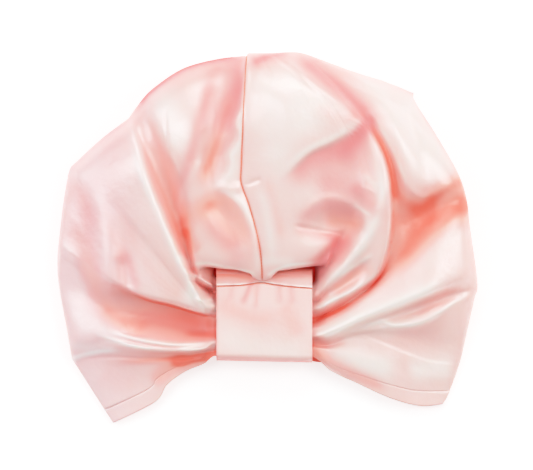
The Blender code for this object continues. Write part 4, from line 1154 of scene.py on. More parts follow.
# %% [markdown]
# The front is drawn in the order in which a dressmaker would shape it: first the sheet across the
# rows, then its dents, then an evening-out that leaves the seams alone. Only then is it pulled
# back onto the outline and seated on the strip, because evening out has moved it a little. The
# wrinkles come last, so that they stay crisp.

# %% Draw the front
LIP_REACH = 0.13
RIM_REACH = 0.8
DENT_START = 0.1
DENT_END = 0.99
DENT_FADE = 0.04
WRINKLE_START = 0.045
WRINKLE_FADE = 0.02
WRINKLE_END = 0.03
SMOOTH_PASSES = 22
SMOOTH_EDGE = 6


def from_to(start, end, fade_in, fade_out):
    """1 between two reaches and 0 beyond them, for each point of a column."""
    return ease((front_reaches - start) / fade_in) * ease((end - front_reaches) / fade_out)


def seated(grid, side):
    """The front with its puffs moved onto the tab's strip, where they start."""
    rows, at = FOLDS[side], columns_at[side]
    first = next(index for index, row in enumerate(rows) if isinstance(row, Puff))
    climb = np.interp(at, np.arange(first, len(rows)), [row.climb for row in rows[first:]])
    y, z = tab_face(climb)
    roots = np.stack([grid[:, 0, 0], tilted(grid[:, 0, 0], y), z], axis=1)
    shift = np.where((at >= first)[:, None], roots - grid[:, 0], 0)
    fade = ease((LIP_REACH - front_reaches) / (LIP_REACH - ENTRY_REACH))
    return grid + shift[:, None] * fade[None, :, None]


def front_grid(side):
    """The front of one half, columns across and reaches out from the tab, and its outline."""
    rows, at = FOLDS[side], columns_at[side]
    curves = np.array([row_curve(row, side, front_reaches) for row in rows])
    grid = across(curves, at, [row.sharp for row in rows])
    share = from_to(DENT_START, DENT_END, DENT_FADE, DENT_FADE)[None, :, None]
    grid += (dented(grid, side) - grid) * share
    from_edge = np.minimum(np.arange(len(at)), np.arange(len(at))[::-1])
    free = ease(from_edge / SMOOTH_EDGE)[:, None, None] * share
    grid += (blurred(grid, SMOOTH_PASSES) - grid) * free
    outline = rim_points(side, np.interp(
        at, np.arange(len(rows)), [rim_place(row, side) for row in rows]))
    drawn = ease((front_reaches - RIM_REACH) / (1 - RIM_REACH))
    grid += (rim_top(outline) - grid[:, -1])[:, None] * drawn[None, :, None]
    grid = seated(grid, side)
    marked = wrinkled(rippled(grid, side), STROKES[side])
    share = from_to(WRINKLE_START, 1, WRINKLE_FADE, WRINKLE_END)[None, :, None]
    return puckered(grid + (marked - grid) * share), outline


drawn_fronts = {side: front_grid(side) for side in SIDES}
for side, (grid, _) in drawn_fronts.items():
    print(side, "front stands", in_mm(grid[..., 2].max()), "mm high")

# %% [markdown]
# Nobody sees the back of a turban that lies on it, so the back layer is plain: it lies flat on
# the floor and runs to a seam down its middle, which goes on from the crown's seam. Its hem bends
# as the front's does and stands just behind it.

# %% Draw the back layer
BACK_SHARES = (0.02, 0.05, 0.12, 0.2, 0.3, 0.4, 0.5, 0.6, 0.7, 0.8, 0.88, 0.95, 1)
BACK_HEM_RISE = 0.0045
BACK_SEAM_SPAN = 0.045


def back_hem(side, shares):
    """The back layer's hem, from the tip to the centre, just behind the front arch."""
    edge = FOLDS[side][0]
    tip = rim_points(side, np.array([0.0]))[0, :2]
    points = [tip] + [place(x, y, z)[:2] for _, x, y, z in reversed(edge.course)]
    points.append(np.array([tab_offset, -tab_height]))
    points = np.array(points)
    knots = np.array([0.0, *[1 - reach for reach, *_ in reversed(edge.course)], 1.0])
    hem = through(knots, points, shares)
    hem[:, 1] += BACK_HEM_RISE * ease(shares / knots[1])
    return hem


def back_course(side, start, span, shares):
    """Points on the floor from start to the centre-back seam; span is the row's share of it."""
    hem = back_hem(side, np.array([0.0, 1.0]))
    bend = back_hem(side, shares) - hem[0] - (hem[1] - hem[0]) * shares[:, None]
    end = hem[1] + np.array([0, BACK_SEAM_SPAN * span])
    line = start + (end - start) * shares[:, None]
    hem_span = HEM_WIDTH / BACK_SEAM_SPAN
    return line + bend * (1 - ease((span - hem_span) / (1 - hem_span)))


print("the back seam is", in_mm(BACK_SEAM_SPAN), "mm long")

# %% [markdown]
# Between front and back the cloth rolls under in a quarter turn, half as wide as the cloth is high
# there. Each column gets its turn and its way back, and the halves are whole.

# %% Join the front and the back
TURN_STEPS = 12
RIM_TURN = 0.5
BACK_AHEAD = 0.1


def half_grid(side):
    """The whole outer face of one half."""
    front, outline = drawn_fronts[side]
    spans = np.interp(
        columns_at[side], [0, 1, len(FOLDS[side]) - 1], [0, HEM_WIDTH / BACK_SEAM_SPAN, 1])
    angles = np.linspace(0, math.pi / 2, TURN_STEPS + 1)[1:, None]
    columns = []
    for column, rim, span in zip(front, outline, spans):
        start = rim[:2]
        ahead = back_course(side, start, span, np.array([BACK_AHEAD]))[0] - start
        inward = ahead / np.linalg.norm(ahead)
        turn_xy = start + inward * rim[2] * RIM_TURN * (1 - np.cos(angles))
        turn_z = rim[2] * RIM_LEVEL * (1 - np.sin(angles))
        back = back_course(side, turn_xy[-1], span, np.array(BACK_SHARES))
        turn = np.hstack([turn_xy, turn_z])
        flat = np.hstack([back, np.zeros((len(back), 1))])
        columns.append(np.concatenate([column, turn, flat]))
    return np.array(columns)


halves = {side: half_grid(side) for side in SIDES}
for side, grid in halves.items():
    print(side, "sheet has", grid.shape[0], "columns of", grid.shape[1], "points")

# %% [markdown]
# A sheet becomes cloth when it gets a second face: the inner one, a wall's thickness below along
# the direction in which the cloth faces. The two halves share that direction along the centre
# seam, so that the walls meet squarely there.

# %% Find which way the cloth faces
EVEN_PASSES = 3
TINY = 1e-12


def unit(vectors):
    """Vectors, the last axis their parts, made one long."""
    return vectors / (np.linalg.norm(vectors, axis=-1, keepdims=True) + TINY)


def face_normals(grid, side):
    """Outward directions of a half's outer face, evened out and square to the floor."""
    normals = np.cross(np.gradient(grid, axis=1), np.gradient(grid, axis=0)) * SIDES[side]
    for _ in range(EVEN_PASSES):
        wide = np.pad(unit(normals), ((1, 1), (1, 1), (0, 0)), mode="edge")
        sideways = wide[:-2, 1:-1] + wide[2:, 1:-1]
        lengthways = wide[1:-1, :-2] + wide[1:-1, 2:]
        normals = 2 * wide[1:-1, 1:-1] + sideways + lengthways
    normals[:, -len(BACK_SHARES) - 1:] = (0, 0, -1)
    return unit(normals)


normals = {side: face_normals(grid, side) for side, grid in halves.items()}
shared = normals["left"][-1] + normals["right"][-1]
shared[:, 0] = 0
for side in SIDES:
    normals[side][-1] = unit(shared)
print("the crown's top faces", normals["left"][-1, len(front_reaches) // 2].round(2))

# %% [markdown]
# Every sewn edge stands half a sewing gap back from its neighbour. The seam allowance turns
# under, which rounds the edge: a small roll along each sewn edge shows as the fine valley of the
# seam.

# %% Part and roll the sewn edges
SEAM_ROLL_WIDTH = 0.0013


def parted(edge, inner, gap):
    """A sewn edge moved into its sheet by half the gap, square to the seam."""
    along = unit(np.gradient(edge, axis=0))
    into = inner - edge
    into -= (into * along).sum(axis=1, keepdims=True) * along
    return edge + unit(into) * gap / 2


def near_edge(grid, order, edge):
    """1 on an edge column of a grid and 0 a seam's width away, for the columns in order."""
    apart = np.linalg.norm(grid[order] - grid[edge], axis=2)
    return np.exp(-((apart / SEAM_ROLL_WIDTH) ** 2))


def rolled(grid, normals, edges):
    """The outer face with its sewn edges rolled under, each by its own depth."""
    grid = grid.copy()
    for edge, order, roll in edges:
        grid[order] -= normals[order] * (roll * near_edge(grid, order, edge))[..., None]
    return grid


print("a seam's valley is", in_mm(2 * SEAM_ROLL_WIDTH), "mm wide")

# %% [markdown]
# Outer and inner face are joined round their border to one closed wall of cloth, and the wall
# becomes a mesh. Each cloth piece stands for one node of the frame, which it hides.

# %% Close the walls and make the meshes


def walled(outer, inner, flip):
    """Points and four-sided faces of a closed wall between two grids of the same shape."""
    layer = outer.shape[0] * outer.shape[1]
    points = np.concatenate([outer.reshape(-1, 3), inner.reshape(-1, 3)])
    index = np.arange(layer).reshape(outer.shape[:2])
    corners = [index[:-1, :-1], index[1:, :-1], index[1:, 1:], index[:-1, 1:]]
    top = np.stack(corners, axis=-1).reshape(-1, 4)
    border = np.concatenate([index[0], index[1:, -1], index[-1, -2::-1], index[-2:0:-1, 0]])
    after = np.roll(border, -1)
    edge = np.stack([border, after, layer + after, layer + border], axis=-1)
    faces = np.concatenate([top, layer + top[:, ::-1], edge])
    return points, faces[:, ::-1] if flip else faces


def make_mesh(name, points, faces):
    """A smooth-shaded object from arrays of points, measured from the tab's seam, and faces."""
    mesh = bpy.data.meshes.new(name)
    mesh.vertices.add(len(points))
    mesh.vertices.foreach_set("co", (points + seam_middle).astype(np.float32).ravel())
    mesh.loops.add(faces.size)
    mesh.loops.foreach_set("vertex_index", faces.astype(np.int32).ravel())
    mesh.polygons.add(len(faces))
    starts = np.arange(0, faces.size, faces.shape[1], dtype=np.int32)
    mesh.polygons.foreach_set("loop_start", starts)
    mesh.update(calc_edges=True)
    mesh.validate()
    mesh.shade_smooth()
    obj = bpy.data.objects.new(name, mesh)
    bpy.context.scene.collection.objects.link(obj)
    return obj


def make_cloth(name, outer, inner, flip):
    """A piece of cloth that stands for the frame's node of the same name."""
    points, faces = walled(outer, inner, flip)
    piece = make_mesh(f"{name}_cloth", points, faces)
    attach(piece, "root")
    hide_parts(name)
    print(name, "has", 2 * len(faces), "triangles")
    return piece


print("a wall of two by two points has", len(walled(*np.zeros((2, 2, 2, 3)), False)[1]), "faces")

# %% [markdown]
# Cloth in a deep fold is lit mostly by the pink cloth around it, so it glows in a stronger colour
# than the crests. That glow, and the shade under layers that lie over others, are painted into the
# colour from how deep a place lies. How deep a place lies comes from the shape alone. The cloth's
# heights are laid out as a map, and from each place the map is searched in sixteen directions for
# how high the cloth around it stands.

# %% Map how deep each place lies
MAP_CELL = 0.0015
FILL_PASSES = 3
LOOK_WAYS = 16
LOOK_STEPS = 22
COVER_POINTS = 80
map_low = cad_low[:2] - seam_middle[:2] - LOOK_STEPS * MAP_CELL
map_size = tuple(np.ceil((cad_high - cad_low)[:2] / MAP_CELL + 2 * LOOK_STEPS).astype(int))


def height_map(grids):
    """The highest cloth over each cell of the floor."""
    heights = np.zeros(map_size)
    for grid in grids:
        cells = np.round((grid[..., :2].reshape(-1, 2) - map_low) / MAP_CELL).astype(int)
        np.maximum.at(heights, tuple(cells.T), grid[..., 2].ravel())
    for _ in range(FILL_PASSES):
        around = [np.roll(heights, way, axis) for way in (1, -1) for axis in (0, 1)]
        heights = np.where(heights > 0, heights, np.max(around, axis=0))
    return blurred(heights, 1)


def map_depths(heights):
    """0 where a place sees the whole sky, up to 1 where the cloth around hides all of it."""
    seen = np.zeros(map_size)
    for way in range(LOOK_WAYS):
        angle = 2 * math.pi * way / LOOK_WAYS
        steepest = np.zeros(map_size)
        for step in range(1, LOOK_STEPS + 1):
            over = (-round(step * math.cos(angle)), -round(step * math.sin(angle)))
            slope = (np.roll(heights, over, (0, 1)) - heights) / (step * MAP_CELL)
            steepest = np.maximum(steepest, slope)
        seen += 1 / (1 + steepest**2) / LOOK_WAYS
    return blurred(1 - seen, 1)


shares = np.linspace(0, 1, COVER_POINTS)
tab_x = tab_low[0] + shares * tab_width
tab_y = tab_low[1] - seam_y + shares * (strip_high[1] - tab_low[1])
tab_cover = np.stack(np.meshgrid(tab_x, tab_y, [tab_high[2]], indexing="ij"), axis=-1)[:, :, 0]
heights = height_map([tab_cover, *(grid[:, front_part] for grid in halves.values())])
depths_seen = map_depths(heights)
print("the deepest fold hides", round(depths_seen.max() * 100), "% of the sky")

# %% [markdown]
# The map is read at every point of the cloth. To it come the charted painted glow and highlights and
# the faint painted glow along the centre seam. This painted light and the painted shade are stored
# on the mesh, for the satin to follow. Both are led round the rim, so that no colour stops in a hard
# line when the turban is seen from behind.

# %% Paint light and shade onto the cloth
UNDER_LAYER = 0.003
INNER_SHADE = 0.4
PAINTED_HIGHLIGHT_END = -0.5
SEAM_COLUMNS = 6
SEAM_GLOW = 0.3


def read_map(values, points):
    """A map's values at points, smoothly between its cells."""
    place_on = np.clip((points[..., :2] - map_low) / MAP_CELL, 0, np.array(map_size) - 2)
    cell = place_on.astype(int)
    share = place_on - cell
    x, y = cell[..., 0], cell[..., 1]
    low = values[x, y] * (1 - share[..., 0]) + values[x + 1, y] * share[..., 0]
    high = values[x, y + 1] * (1 - share[..., 0]) + values[x + 1, y + 1] * share[..., 0]
    return low * (1 - share[..., 1]) + high * share[..., 1]


def fold_depths(grid):
    """How deep each point lies, deepest where another layer lies over it."""
    # This depth drives the painted glow of the folds and the painted shade under layers that lie
    # over others.
    covered = ease((read_map(heights, grid) - grid[..., 2] - UNDER_LAYER) / UNDER_LAYER)
    deep = read_map(depths_seen, grid)
    return deep + (1 - deep) * covered / 2


def with_marks(under, grid, marks):
    """Shades with the front's marks added, led round the rim to what they are underneath."""
    front = len(front_reaches)
    shades = under.copy()
    shades[:, :front] += stroked(grid[:, :front], marks)
    fade = 1 - ease(np.arange(1, shades.shape[1] - front + 1) / TURN_STEPS)
    shades[:, front:] += (shades[:, front - 1:front] - shades[:, front:]) * fade
    return shades


def half_shades(side):
    """The painted light and the painted shade of every point of one half."""
    grid = halves[side]
    deep = with_marks(fold_depths(grid), grid, PAINTED_LIGHT_STROKES[side])
    last = slice(-SEAM_COLUMNS, None)
    # A faint painted glow along the centre seam.
    deep[last] += SEAM_GLOW * near_edge(grid, last, -1)
    painted_shade = with_marks(np.zeros(grid.shape[:2]), grid, PAINTED_SHADE_STROKES[side])
    return np.minimum(deep, 1), painted_shade


def store_shades(obj, depths, painted_shades):
    """Keeps the painted light and the painted shade on the mesh. The inner face of the wall is
    painted deeper in shade.
    """
    for name, outer, inner in (("fold_depth", depths, depths + INNER_SHADE), ("painted_shade", painted_shades, painted_shades)):
        layer = obj.data.attributes.new(name, "FLOAT", "POINT")
        both = np.concatenate([outer.ravel(), inner.ravel()])
        layer.data.foreach_set("value", np.clip(both, PAINTED_HIGHLIGHT_END, 1).astype(np.float32))


shades = {side: half_shades(side) for side in SIDES}
for side, (deep, _) in shades.items():
    print(side, "depths are", deep[:, front_part].min().round(2), "to", deep.max().round(2))

# %% [markdown]
# Now the four sheets are cut from the two halves: the crown down to the line of stitches and the
# hem below it. The hem is the turned edge, so its wall is thicker.

# %% Make the crown and the hem
HEM_WALL = 0.002
SEAM_ROLL = 0.0006
HEM_ROLL = 0.0001
HEM_GAP = 0.00005


def cut_piece(kind, side):
    """Cuts the hem or the crown from one half and gives it its wall and its shades."""
    first, last = slice(0, SEAM_COLUMNS), slice(-SEAM_COLUMNS, None)
    if kind == "hem":
        columns, wall, gap = slice(0, stitches_at[side] + 1), HEM_WALL, HEM_GAP
        edges = [(-1, last, HEM_ROLL)]
    else:
        columns, wall, gap = slice(stitches_at[side], None), CLOTH_WALL, SEW_GAP
        edges = [(0, first, HEM_ROLL), (-1, last, SEAM_ROLL)]
    outward = normals[side][columns]
    outer = halves[side][columns].copy()
    inner = outer - outward * wall
    outer[:, front_part] = rolled(outer[:, front_part], outward[:, front_part], edges)
    for sheet in (outer, inner):
        if kind == "crown":
            sheet[0] = parted(sheet[0], sheet[1], HEM_GAP)
        sheet[-1] = parted(sheet[-1], sheet[-2], gap)
        sheet[:, -1, 0] += SIDES[side] * SEW_GAP / 2
    inner[..., 2] = np.maximum(inner[..., 2], wall)
    piece = make_cloth(f"{kind}_{side}", outer, inner, side == "right")
    store_shades(piece, *(values[columns] for values in shades[side]))
    return piece


cloth = {f"{kind}_{side}": cut_piece(kind, side) for side in SIDES for kind in ("hem", "crown")}

# %% [markdown]
# The tab and the strip above its seam are one flat tube of satin round the gathers. It is pulled
# tight, so only short puckers run down from its seam. Its marks are strokes like the crown's: the
# puckers, the painted shade beside them and along the foot, and the painted glow, shade and
# highlight that the folds around it give it.

# %% Chart the marks of the tab
TAB_STROKES = (
    Stroke("outer_pucker", "round", 1.4, 0.12, ((233, 283), (232, 290), (231, 299))),
    Stroke("left_pucker", "round", 1.6, 0.30, ((252, 282), (249, 290), (243, 301))),
    Stroke("middle_pucker", "round", 1.3, 0.18, ((258, 282), (257, 292), (256, 305))),
    Stroke("right_pucker", "round", 1.5, 0.20, ((279, 284), (279, 291), (280, 301))),
    Stroke("far_pucker", "round", 1.6, 0.20, ((290, 285), (291, 292), (292, 302))),
)
TAB_PAINTED_SHADE_STROKES = (
    Stroke("outer_pucker", "round", 2.4, 0.26, ((233, 278), (232, 290), (231, 302))),
    Stroke("left_pucker", "round", 2.8, 0.60, ((254, 278), (249, 290), (241, 306))),
    Stroke("middle_pucker", "round", 2.4, 0.38, ((259, 278), (257, 292), (255, 312))),
    Stroke("right_pucker", "round", 3.0, 0.38, ((279, 280), (279, 291), (280, 306))),
    Stroke("far_pucker", "round", 3.4, 0.38, ((290, 280), (291, 292), (292, 306))),
    Stroke("foot_band", "round", 3.4, 0.60, ((190, 358), (262, 360), (336, 363))),
    Stroke("side_edge", "round", 1.6, 0.55, ((216, 270), (216, 310), (216, 376))),
)
TAB_PAINTED_LIGHT_STROKES = (
    Stroke("upper_pink", "round", 8, 0.26, ((214, 296), (236, 312), (262, 318), (282, 314))),
    Stroke("right_pink", "round", 9, 0.26, ((280, 300), (292, 322), (300, 340))),
    Stroke("low_bloom", "round", 10, -0.24, ((210, 322), (236, 342), (262, 350), (318, 354))),
    Stroke("left_shade", "round", 3.4, 0.45, ((206, 277), (228, 275), (244, 278), (262, 283))),
    Stroke("right_shade", "round", 3.4, 0.25, ((262, 283), (284, 275), (300, 272), (322, 270))),
)
print(len(TAB_STROKES), "puckers under the tab's seam")

# %% [markdown]
# The tube's cross section is two straight faces joined by round ends. It is walked round in five
# legs, each counted as one: down the face from the seam, round the foot, up the back, round the
# top and down the front of the strip to the seam again.

# %% Draw the tab's cross section
TAB_LEGS = ("face", "foot", "back", "top", "strip")
TAB_STEP = 0.0125


def tab_section(first, last):
    """y, z and outward y, z round the tab's tube, from place first to last."""
    foot = -tab_height + TAB_FOOT_ROUND
    head = strip_height - TAB_TOP_ROUND
    half = tab_depth / 2
    section = []
    for place_round in np.linspace(first, last, round((last - first) / TAB_STEP) + 1):
        index = min(int(place_round), len(TAB_LEGS) - 1)
        leg, share = TAB_LEGS[index], place_round - index
        if leg == "face":
            row = (foot * share, half, 0, 1)
        elif leg == "back":
            row = (foot + (head - foot) * share, -half, 0, -1)
        elif leg == "strip":
            row = (head * (1 - share), half, 0, 1)
        else:
            middle, size, way = foot, TAB_FOOT_ROUND, -1
            if leg == "top":
                middle, size, way = head, TAB_TOP_ROUND, 1
            out_y = way * math.sin(math.pi * share)
            out_z = -way * math.cos(math.pi * share)
            row = (middle + size * out_y, half * out_z, out_y, out_z)
        section.append(row)
    return np.array(section)


print("the section has", len(tab_section(0, len(TAB_LEGS))), "points")

# %% [markdown]
# Each piece is a stretch of that section, drawn out across the tab's width. The front tab goes from
# its seam round the foot to the back's top, and the strip goes on from there. The face pillows a
# little, and along the seam the strip's edge is a raised bead with a painted highlight, which lies
# on the sunken edge of the tab, painted darker with shade.

# %% Make the tab and its strip
TAB_BACK_TOP = TAB_LEGS.index("top")
TAB_COLUMNS = 120
TAB_PILLOW = 0.0012
FACE_UP = 0.9
LIP_WIDTH = 0.0010
LIP_PAINTED_HIGHLIGHT = 0.55
SEAM_SHADE = 0.4
SEAM_BEAD = 0.0006
SEAM_BEAD_WIDTH = 0.0011


def tab_grid(section, wall):
    """The section drawn out across the tab, a wall's thickness inside its outer face."""
    y, z, out_y, out_z = section.T
    across_tab = np.linspace(-1, 1, TAB_COLUMNS)[:, None]
    pillow = TAB_PILLOW * np.sin(np.clip(-y / tab_height, 0, 1) * math.pi) * (out_z > FACE_UP)
    x = tab_offset + across_tab * tab_width / 2 + 0 * y
    column_z = tab_lift + tab_depth / 2 + z + pillow * (1 - across_tab**2) - out_z * wall
    grid = np.stack([x, tilted(x, y - out_y * wall), column_z], axis=2)
    for edge, inner in ((0, 1), (-1, -2)):
        grid[:, edge] += unit(grid[:, inner] - grid[:, edge]) * SEW_GAP / 2
    return grid


def tab_piece(name, first, last):
    """A stretch of the tube with its marks, from place first to last of the section."""
    section = tab_section(first, last)
    outer, inner = tab_grid(section, 0), tab_grid(section, TAB_WALL)
    out_z = section[:, -1]
    face = out_z > FACE_UP
    from_seam = np.abs(outer[..., 1] - tilted(outer[..., 0], 0))
    # The strip's lip gets a painted highlight and the tab's seam edge a painted shade.
    if name == "tab_strip":
        lip, bead, marked = -LIP_PAINTED_HIGHLIGHT, SEAM_BEAD, outer
    else:
        lip, bead, marked = SEAM_SHADE, -SEAM_BEAD, wrinkled(outer, TAB_STROKES)
    painted_shade = stroked(outer, TAB_PAINTED_SHADE_STROKES) * (out_z > 0)
    glow = (stroked(outer, TAB_PAINTED_LIGHT_STROKES) + lip * np.exp(-((from_seam / LIP_WIDTH) ** 2))) * face
    marked_z = marked[..., 2] + bead * np.exp(-((from_seam / SEAM_BEAD_WIDTH) ** 2))
    outer[..., 2] = np.where(face, marked_z, outer[..., 2])
    outer, inner = puckered(outer), puckered(inner)
    piece = make_cloth(name, outer, inner, True)
    store_shades(piece, fold_depths(outer) + glow, painted_shade)
    return piece


cloth["front_tab"] = tab_piece("front_tab", 0, TAB_BACK_TOP)
cloth["tab_strip"] = tab_piece("tab_strip", TAB_BACK_TOP, len(TAB_LEGS))

# %% [markdown]
# A thread is a thin round tube that lies in the groove of its seam. Every stitch pulls it in, so
# it is pinched once for each: the power in the pinch keeps it short and the stitch between two
# of them plump.

# %% Spin a thread
THREAD_STEP = 0.0006
THREAD_SIDES = 6
STITCH_LENGTH = 0.0024
STITCH_PINCH = 0.4
PINCH_POWER = 8
Thread = namedtuple("Thread", "name radius sink")


def read_along(walked, rows, at):
    """Rows of points or directions along a line, read at other distances walked along it."""
    return np.stack([np.interp(at, walked, part) for part in rows.T], axis=1)


def sewn(name, thread, line, up):
    """A thread along a line of points, sunk against the up directions."""
    walked = walked_along(line)
    at = np.linspace(0, walked[-1], round(walked[-1] / THREAD_STEP))
    line, up = read_along(walked, line, at), read_along(walked, up, at)
    along = np.gradient(line, axis=0)
    aside = unit(np.cross(along, up))
    up = unit(np.cross(aside, along))
    pinch = STITCH_PINCH * np.abs(np.cos(math.pi * at / STITCH_LENGTH)) ** PINCH_POWER
    thick = thread.radius * (1 - pinch)
    angles = np.linspace(0, 2 * math.pi, THREAD_SIDES + 1)[:-1, None]
    rings = aside[:, None] * np.cos(angles) + up[:, None] * np.sin(angles)
    points = (line - up * thread.sink)[:, None] + rings * thick[:, None, None]
    index = np.arange(len(at) * THREAD_SIDES).reshape(len(at), THREAD_SIDES)
    beside = np.roll(index, -1, axis=1)
    faces = np.stack([index[:-1], beside[:-1], beside[1:], index[1:]], axis=-1).reshape(-1, 4)
    piece = make_mesh(name, points.reshape(-1, 3), faces)
    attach(piece, "root")
    print(name, "is", in_mm(walked[-1]), "mm long")
    return piece


print("a stitch is", in_mm(STITCH_LENGTH), "mm long")

# %% [markdown]
# Three seams show their sewing: the line down the middle of the crown, the hem's stitches and the
# tab's seam. The hem's thread is fine and lies almost flush with the cloth.

# %% Sew the seams
CROWN_THREAD = Thread("centre_thread", 0.00028, 0.0004)
CROWN_THREAD_START = 4
HEM_THREAD = Thread("hem_thread", 0.0001, 0.00008)
HEM_THREAD_REACH = {"left": 0.62, "right": 0.10}
TAB_THREAD = Thread("tab_thread", 0.00025, 0.0001)
TAB_SEAM_BELOW = 0.0006
TAB_SEAM_POINTS = 60


def sewn_column(name, thread, side, column, start):
    """A thread along a column of the front, from one of its points to the rim."""
    part = slice(start, len(front_reaches))
    return sewn(name, thread, halves[side][column, part], normals[side][column, part])


threads = [sewn_column(CROWN_THREAD.name, CROWN_THREAD, "left", -1, CROWN_THREAD_START)]
for side in SIDES:
    start = int(np.searchsorted(front_reaches, HEM_THREAD_REACH[side]))
    name = f"{HEM_THREAD.name}_{side}"
    threads.append(sewn_column(name, HEM_THREAD, side, stitches_at[side], start))
seam_x = tab_offset + np.linspace(-1, 1, TAB_SEAM_POINTS) * tab_width / 2
seam_z = tab_lift + tab_depth + 0 * seam_x
seam_line = puckered(np.stack([seam_x, tilted(seam_x, -TAB_SEAM_BELOW), seam_z], axis=1))
straight_up = np.tile([0.0, 0.0, 1.0], (TAB_SEAM_POINTS, 1))
threads.append(sewn(TAB_THREAD.name, TAB_THREAD, seam_line, straight_up))

# %% [markdown]
# The pieces are all there and want their materials. A material is a tree of small nodes, each
# with its sockets joined to plain values or to other nodes. A few helpers keep the tree readable:
# one for each kind of node that the satin and the thread have in common.

# %% Prepare to mix materials


def join(tree, socket, value):
    """Feeds a socket from another node's output, or sets it to a plain value."""
    if isinstance(value, bpy.types.NodeSocket):
        tree.links.new(value, socket)
    else:
        socket.default_value = value


def new_node(tree, kind, sockets, **settings):
    """A node of the tree with its settings made first and then its sockets joined."""
    node = tree.nodes.new(f"ShaderNode{kind}")
    for setting, value in settings.items():
        setattr(node, setting, value)
    for socket, value in sockets.items():
        join(tree, node.inputs[socket], value)
    return node


def ranged(tree, value, reach, result=(0, 1)):
    """A value led from one range to another and held at the ends."""
    return new_node(tree, "MapRange", {
        "Value": value,
        "From Min": reach[0],
        "From Max": reach[1],
        "To Min": result[0],
        "To Max": result[1],
    }).outputs["Result"]


def mixed(tree, share, first, second, blend="MIX"):
    """Two colours mixed by a share."""
    sockets = {"Factor": share, "A": first, "B": second}
    mix = new_node(tree, "Mix", sockets, data_type="RGBA", blend_type=blend)
    return mix.outputs["Result"]


def noise(tree, place_on, scale, detail):
    """Soft random spots."""
    sockets = {"Vector": place_on, "Scale": scale, "Detail": detail}
    return new_node(tree, "TexNoise", sockets).outputs["Fac"]


def bumped(tree, height, distance, normal=None):
    """The direction in which a bumped surface faces, on top of an earlier bump."""
    sockets = {"Height": height, "Distance": distance}
    if normal is not None:
        sockets["Normal"] = normal
    return new_node(tree, "Bump", sockets).outputs["Normal"]


print("materials so far:", len(bpy.data.materials))

# %% [markdown]
# Satin is woven so that long threads float over its face. That gives it a broad, soft mirror shine.
# Its colour comes first, with light and shade painted into it. The colours follow the painted light
# stored on the mesh, from the pale painted highlight of the crests through the cloth's plain pink to
# the salmon painted glow of the deepest folds, where light bounces from cloth to cloth. Painted
# shade mixes in a dull rose, and the left side is painted a little cooler, because its light is.

# %% Paint light and shade into the satin's colour
LightAndShadeTone = namedtuple("LightAndShadeTone", "depth colour")
# The lowest tone is the painted highlight of the crests, the one near zero the cloth's plain pink,
# and the deeper ones the painted glow and shade of the folds.
LIGHT_AND_SHADE_TONES = (
    LightAndShadeTone(PAINTED_HIGHLIGHT_END, (0.98, 0.82, 0.76, 1)),
    LightAndShadeTone(0.08, (0.96, 0.57, 0.53, 1)),
    LightAndShadeTone(0.32, (0.97, 0.45, 0.41, 1)),
    LightAndShadeTone(0.60, (0.98, 0.40, 0.335, 1)),
    LightAndShadeTone(1.0, (0.95, 0.17, 0.11, 1)),
)
PAINTED_SHADE_COLOUR = (0.82, 0.26, 0.26, 1)
PAINTED_COOL_LIGHT = (0.97, 1.0, 1.09, 1)
COOL_FROM = -0.07
COOL_TO = -0.13


def satin_colour(tree, depth, painted_shade, place_on):
    """The satin's colour at every place, from the painted light and the painted shade stored there.
    """
    colours = new_node(tree, "ValToRGB", {"Fac": ranged(tree, depth, (PAINTED_HIGHLIGHT_END, 1))})
    for light_and_shade_tone in LIGHT_AND_SHADE_TONES[1:-1]:
        colours.color_ramp.elements.new(light_and_shade_tone.depth)
    for element, light_and_shade_tone in zip(colours.color_ramp.elements, LIGHT_AND_SHADE_TONES):
        element.position = (light_and_shade_tone.depth - PAINTED_HIGHLIGHT_END) / (1 - PAINTED_HIGHLIGHT_END)
        element.color = light_and_shade_tone.colour
    # Painted shade mixes in a dull rose.
    painted_shaded = mixed(tree, painted_shade, colours.outputs["Color"], PAINTED_SHADE_COLOUR)
    # The left side is painted cooler, as its light is.
    x = new_node(tree, "SeparateXYZ", {"Vector": place_on}).outputs["X"]
    cool = ranged(tree, x, (COOL_FROM, COOL_TO))
    return mixed(tree, cool, painted_shaded, PAINTED_COOL_LIGHT, blend="MULTIPLY")


print(len(LIGHT_AND_SHADE_TONES), "light_and_shade_tones")

# %% [markdown]
# Then the surface. The mirror shine is strongest on the crests and fades in the folds, where the
# painted light is deep, and in the painted shade, and a little light passes into the cloth. A fine
# unevenness breaks the shine up, in three scales laid over each other: faint crumples of cloth that
# has been handled, which also make the shine now sharper and now softer, small creases, and the
# threads of the weave.

# %% Mix the satin
SATIN_SHEEN = 0.03
SATIN_IOR = 2.0
SATIN_ROUGHNESS = (0.27, 0.38)
SATIN_SHINE = (0.62, 0.26)
GLOSS_FADE = (0.15, 0.8)
LIGHT_THROUGH = 0.3
LIGHT_REACH = (2.0, 0.8, 0.6)
CRUMPLE_SCALE = 55
CRUMPLE_DETAIL = 3
CRUMPLE_BUMP = 0.0008
CREASE_SCALE = 240
CREASE_DETAIL = 4
CREASE_BUMP = 0.00012
THREAD_SCALE = 900
THREAD_BUMP = 0.00002


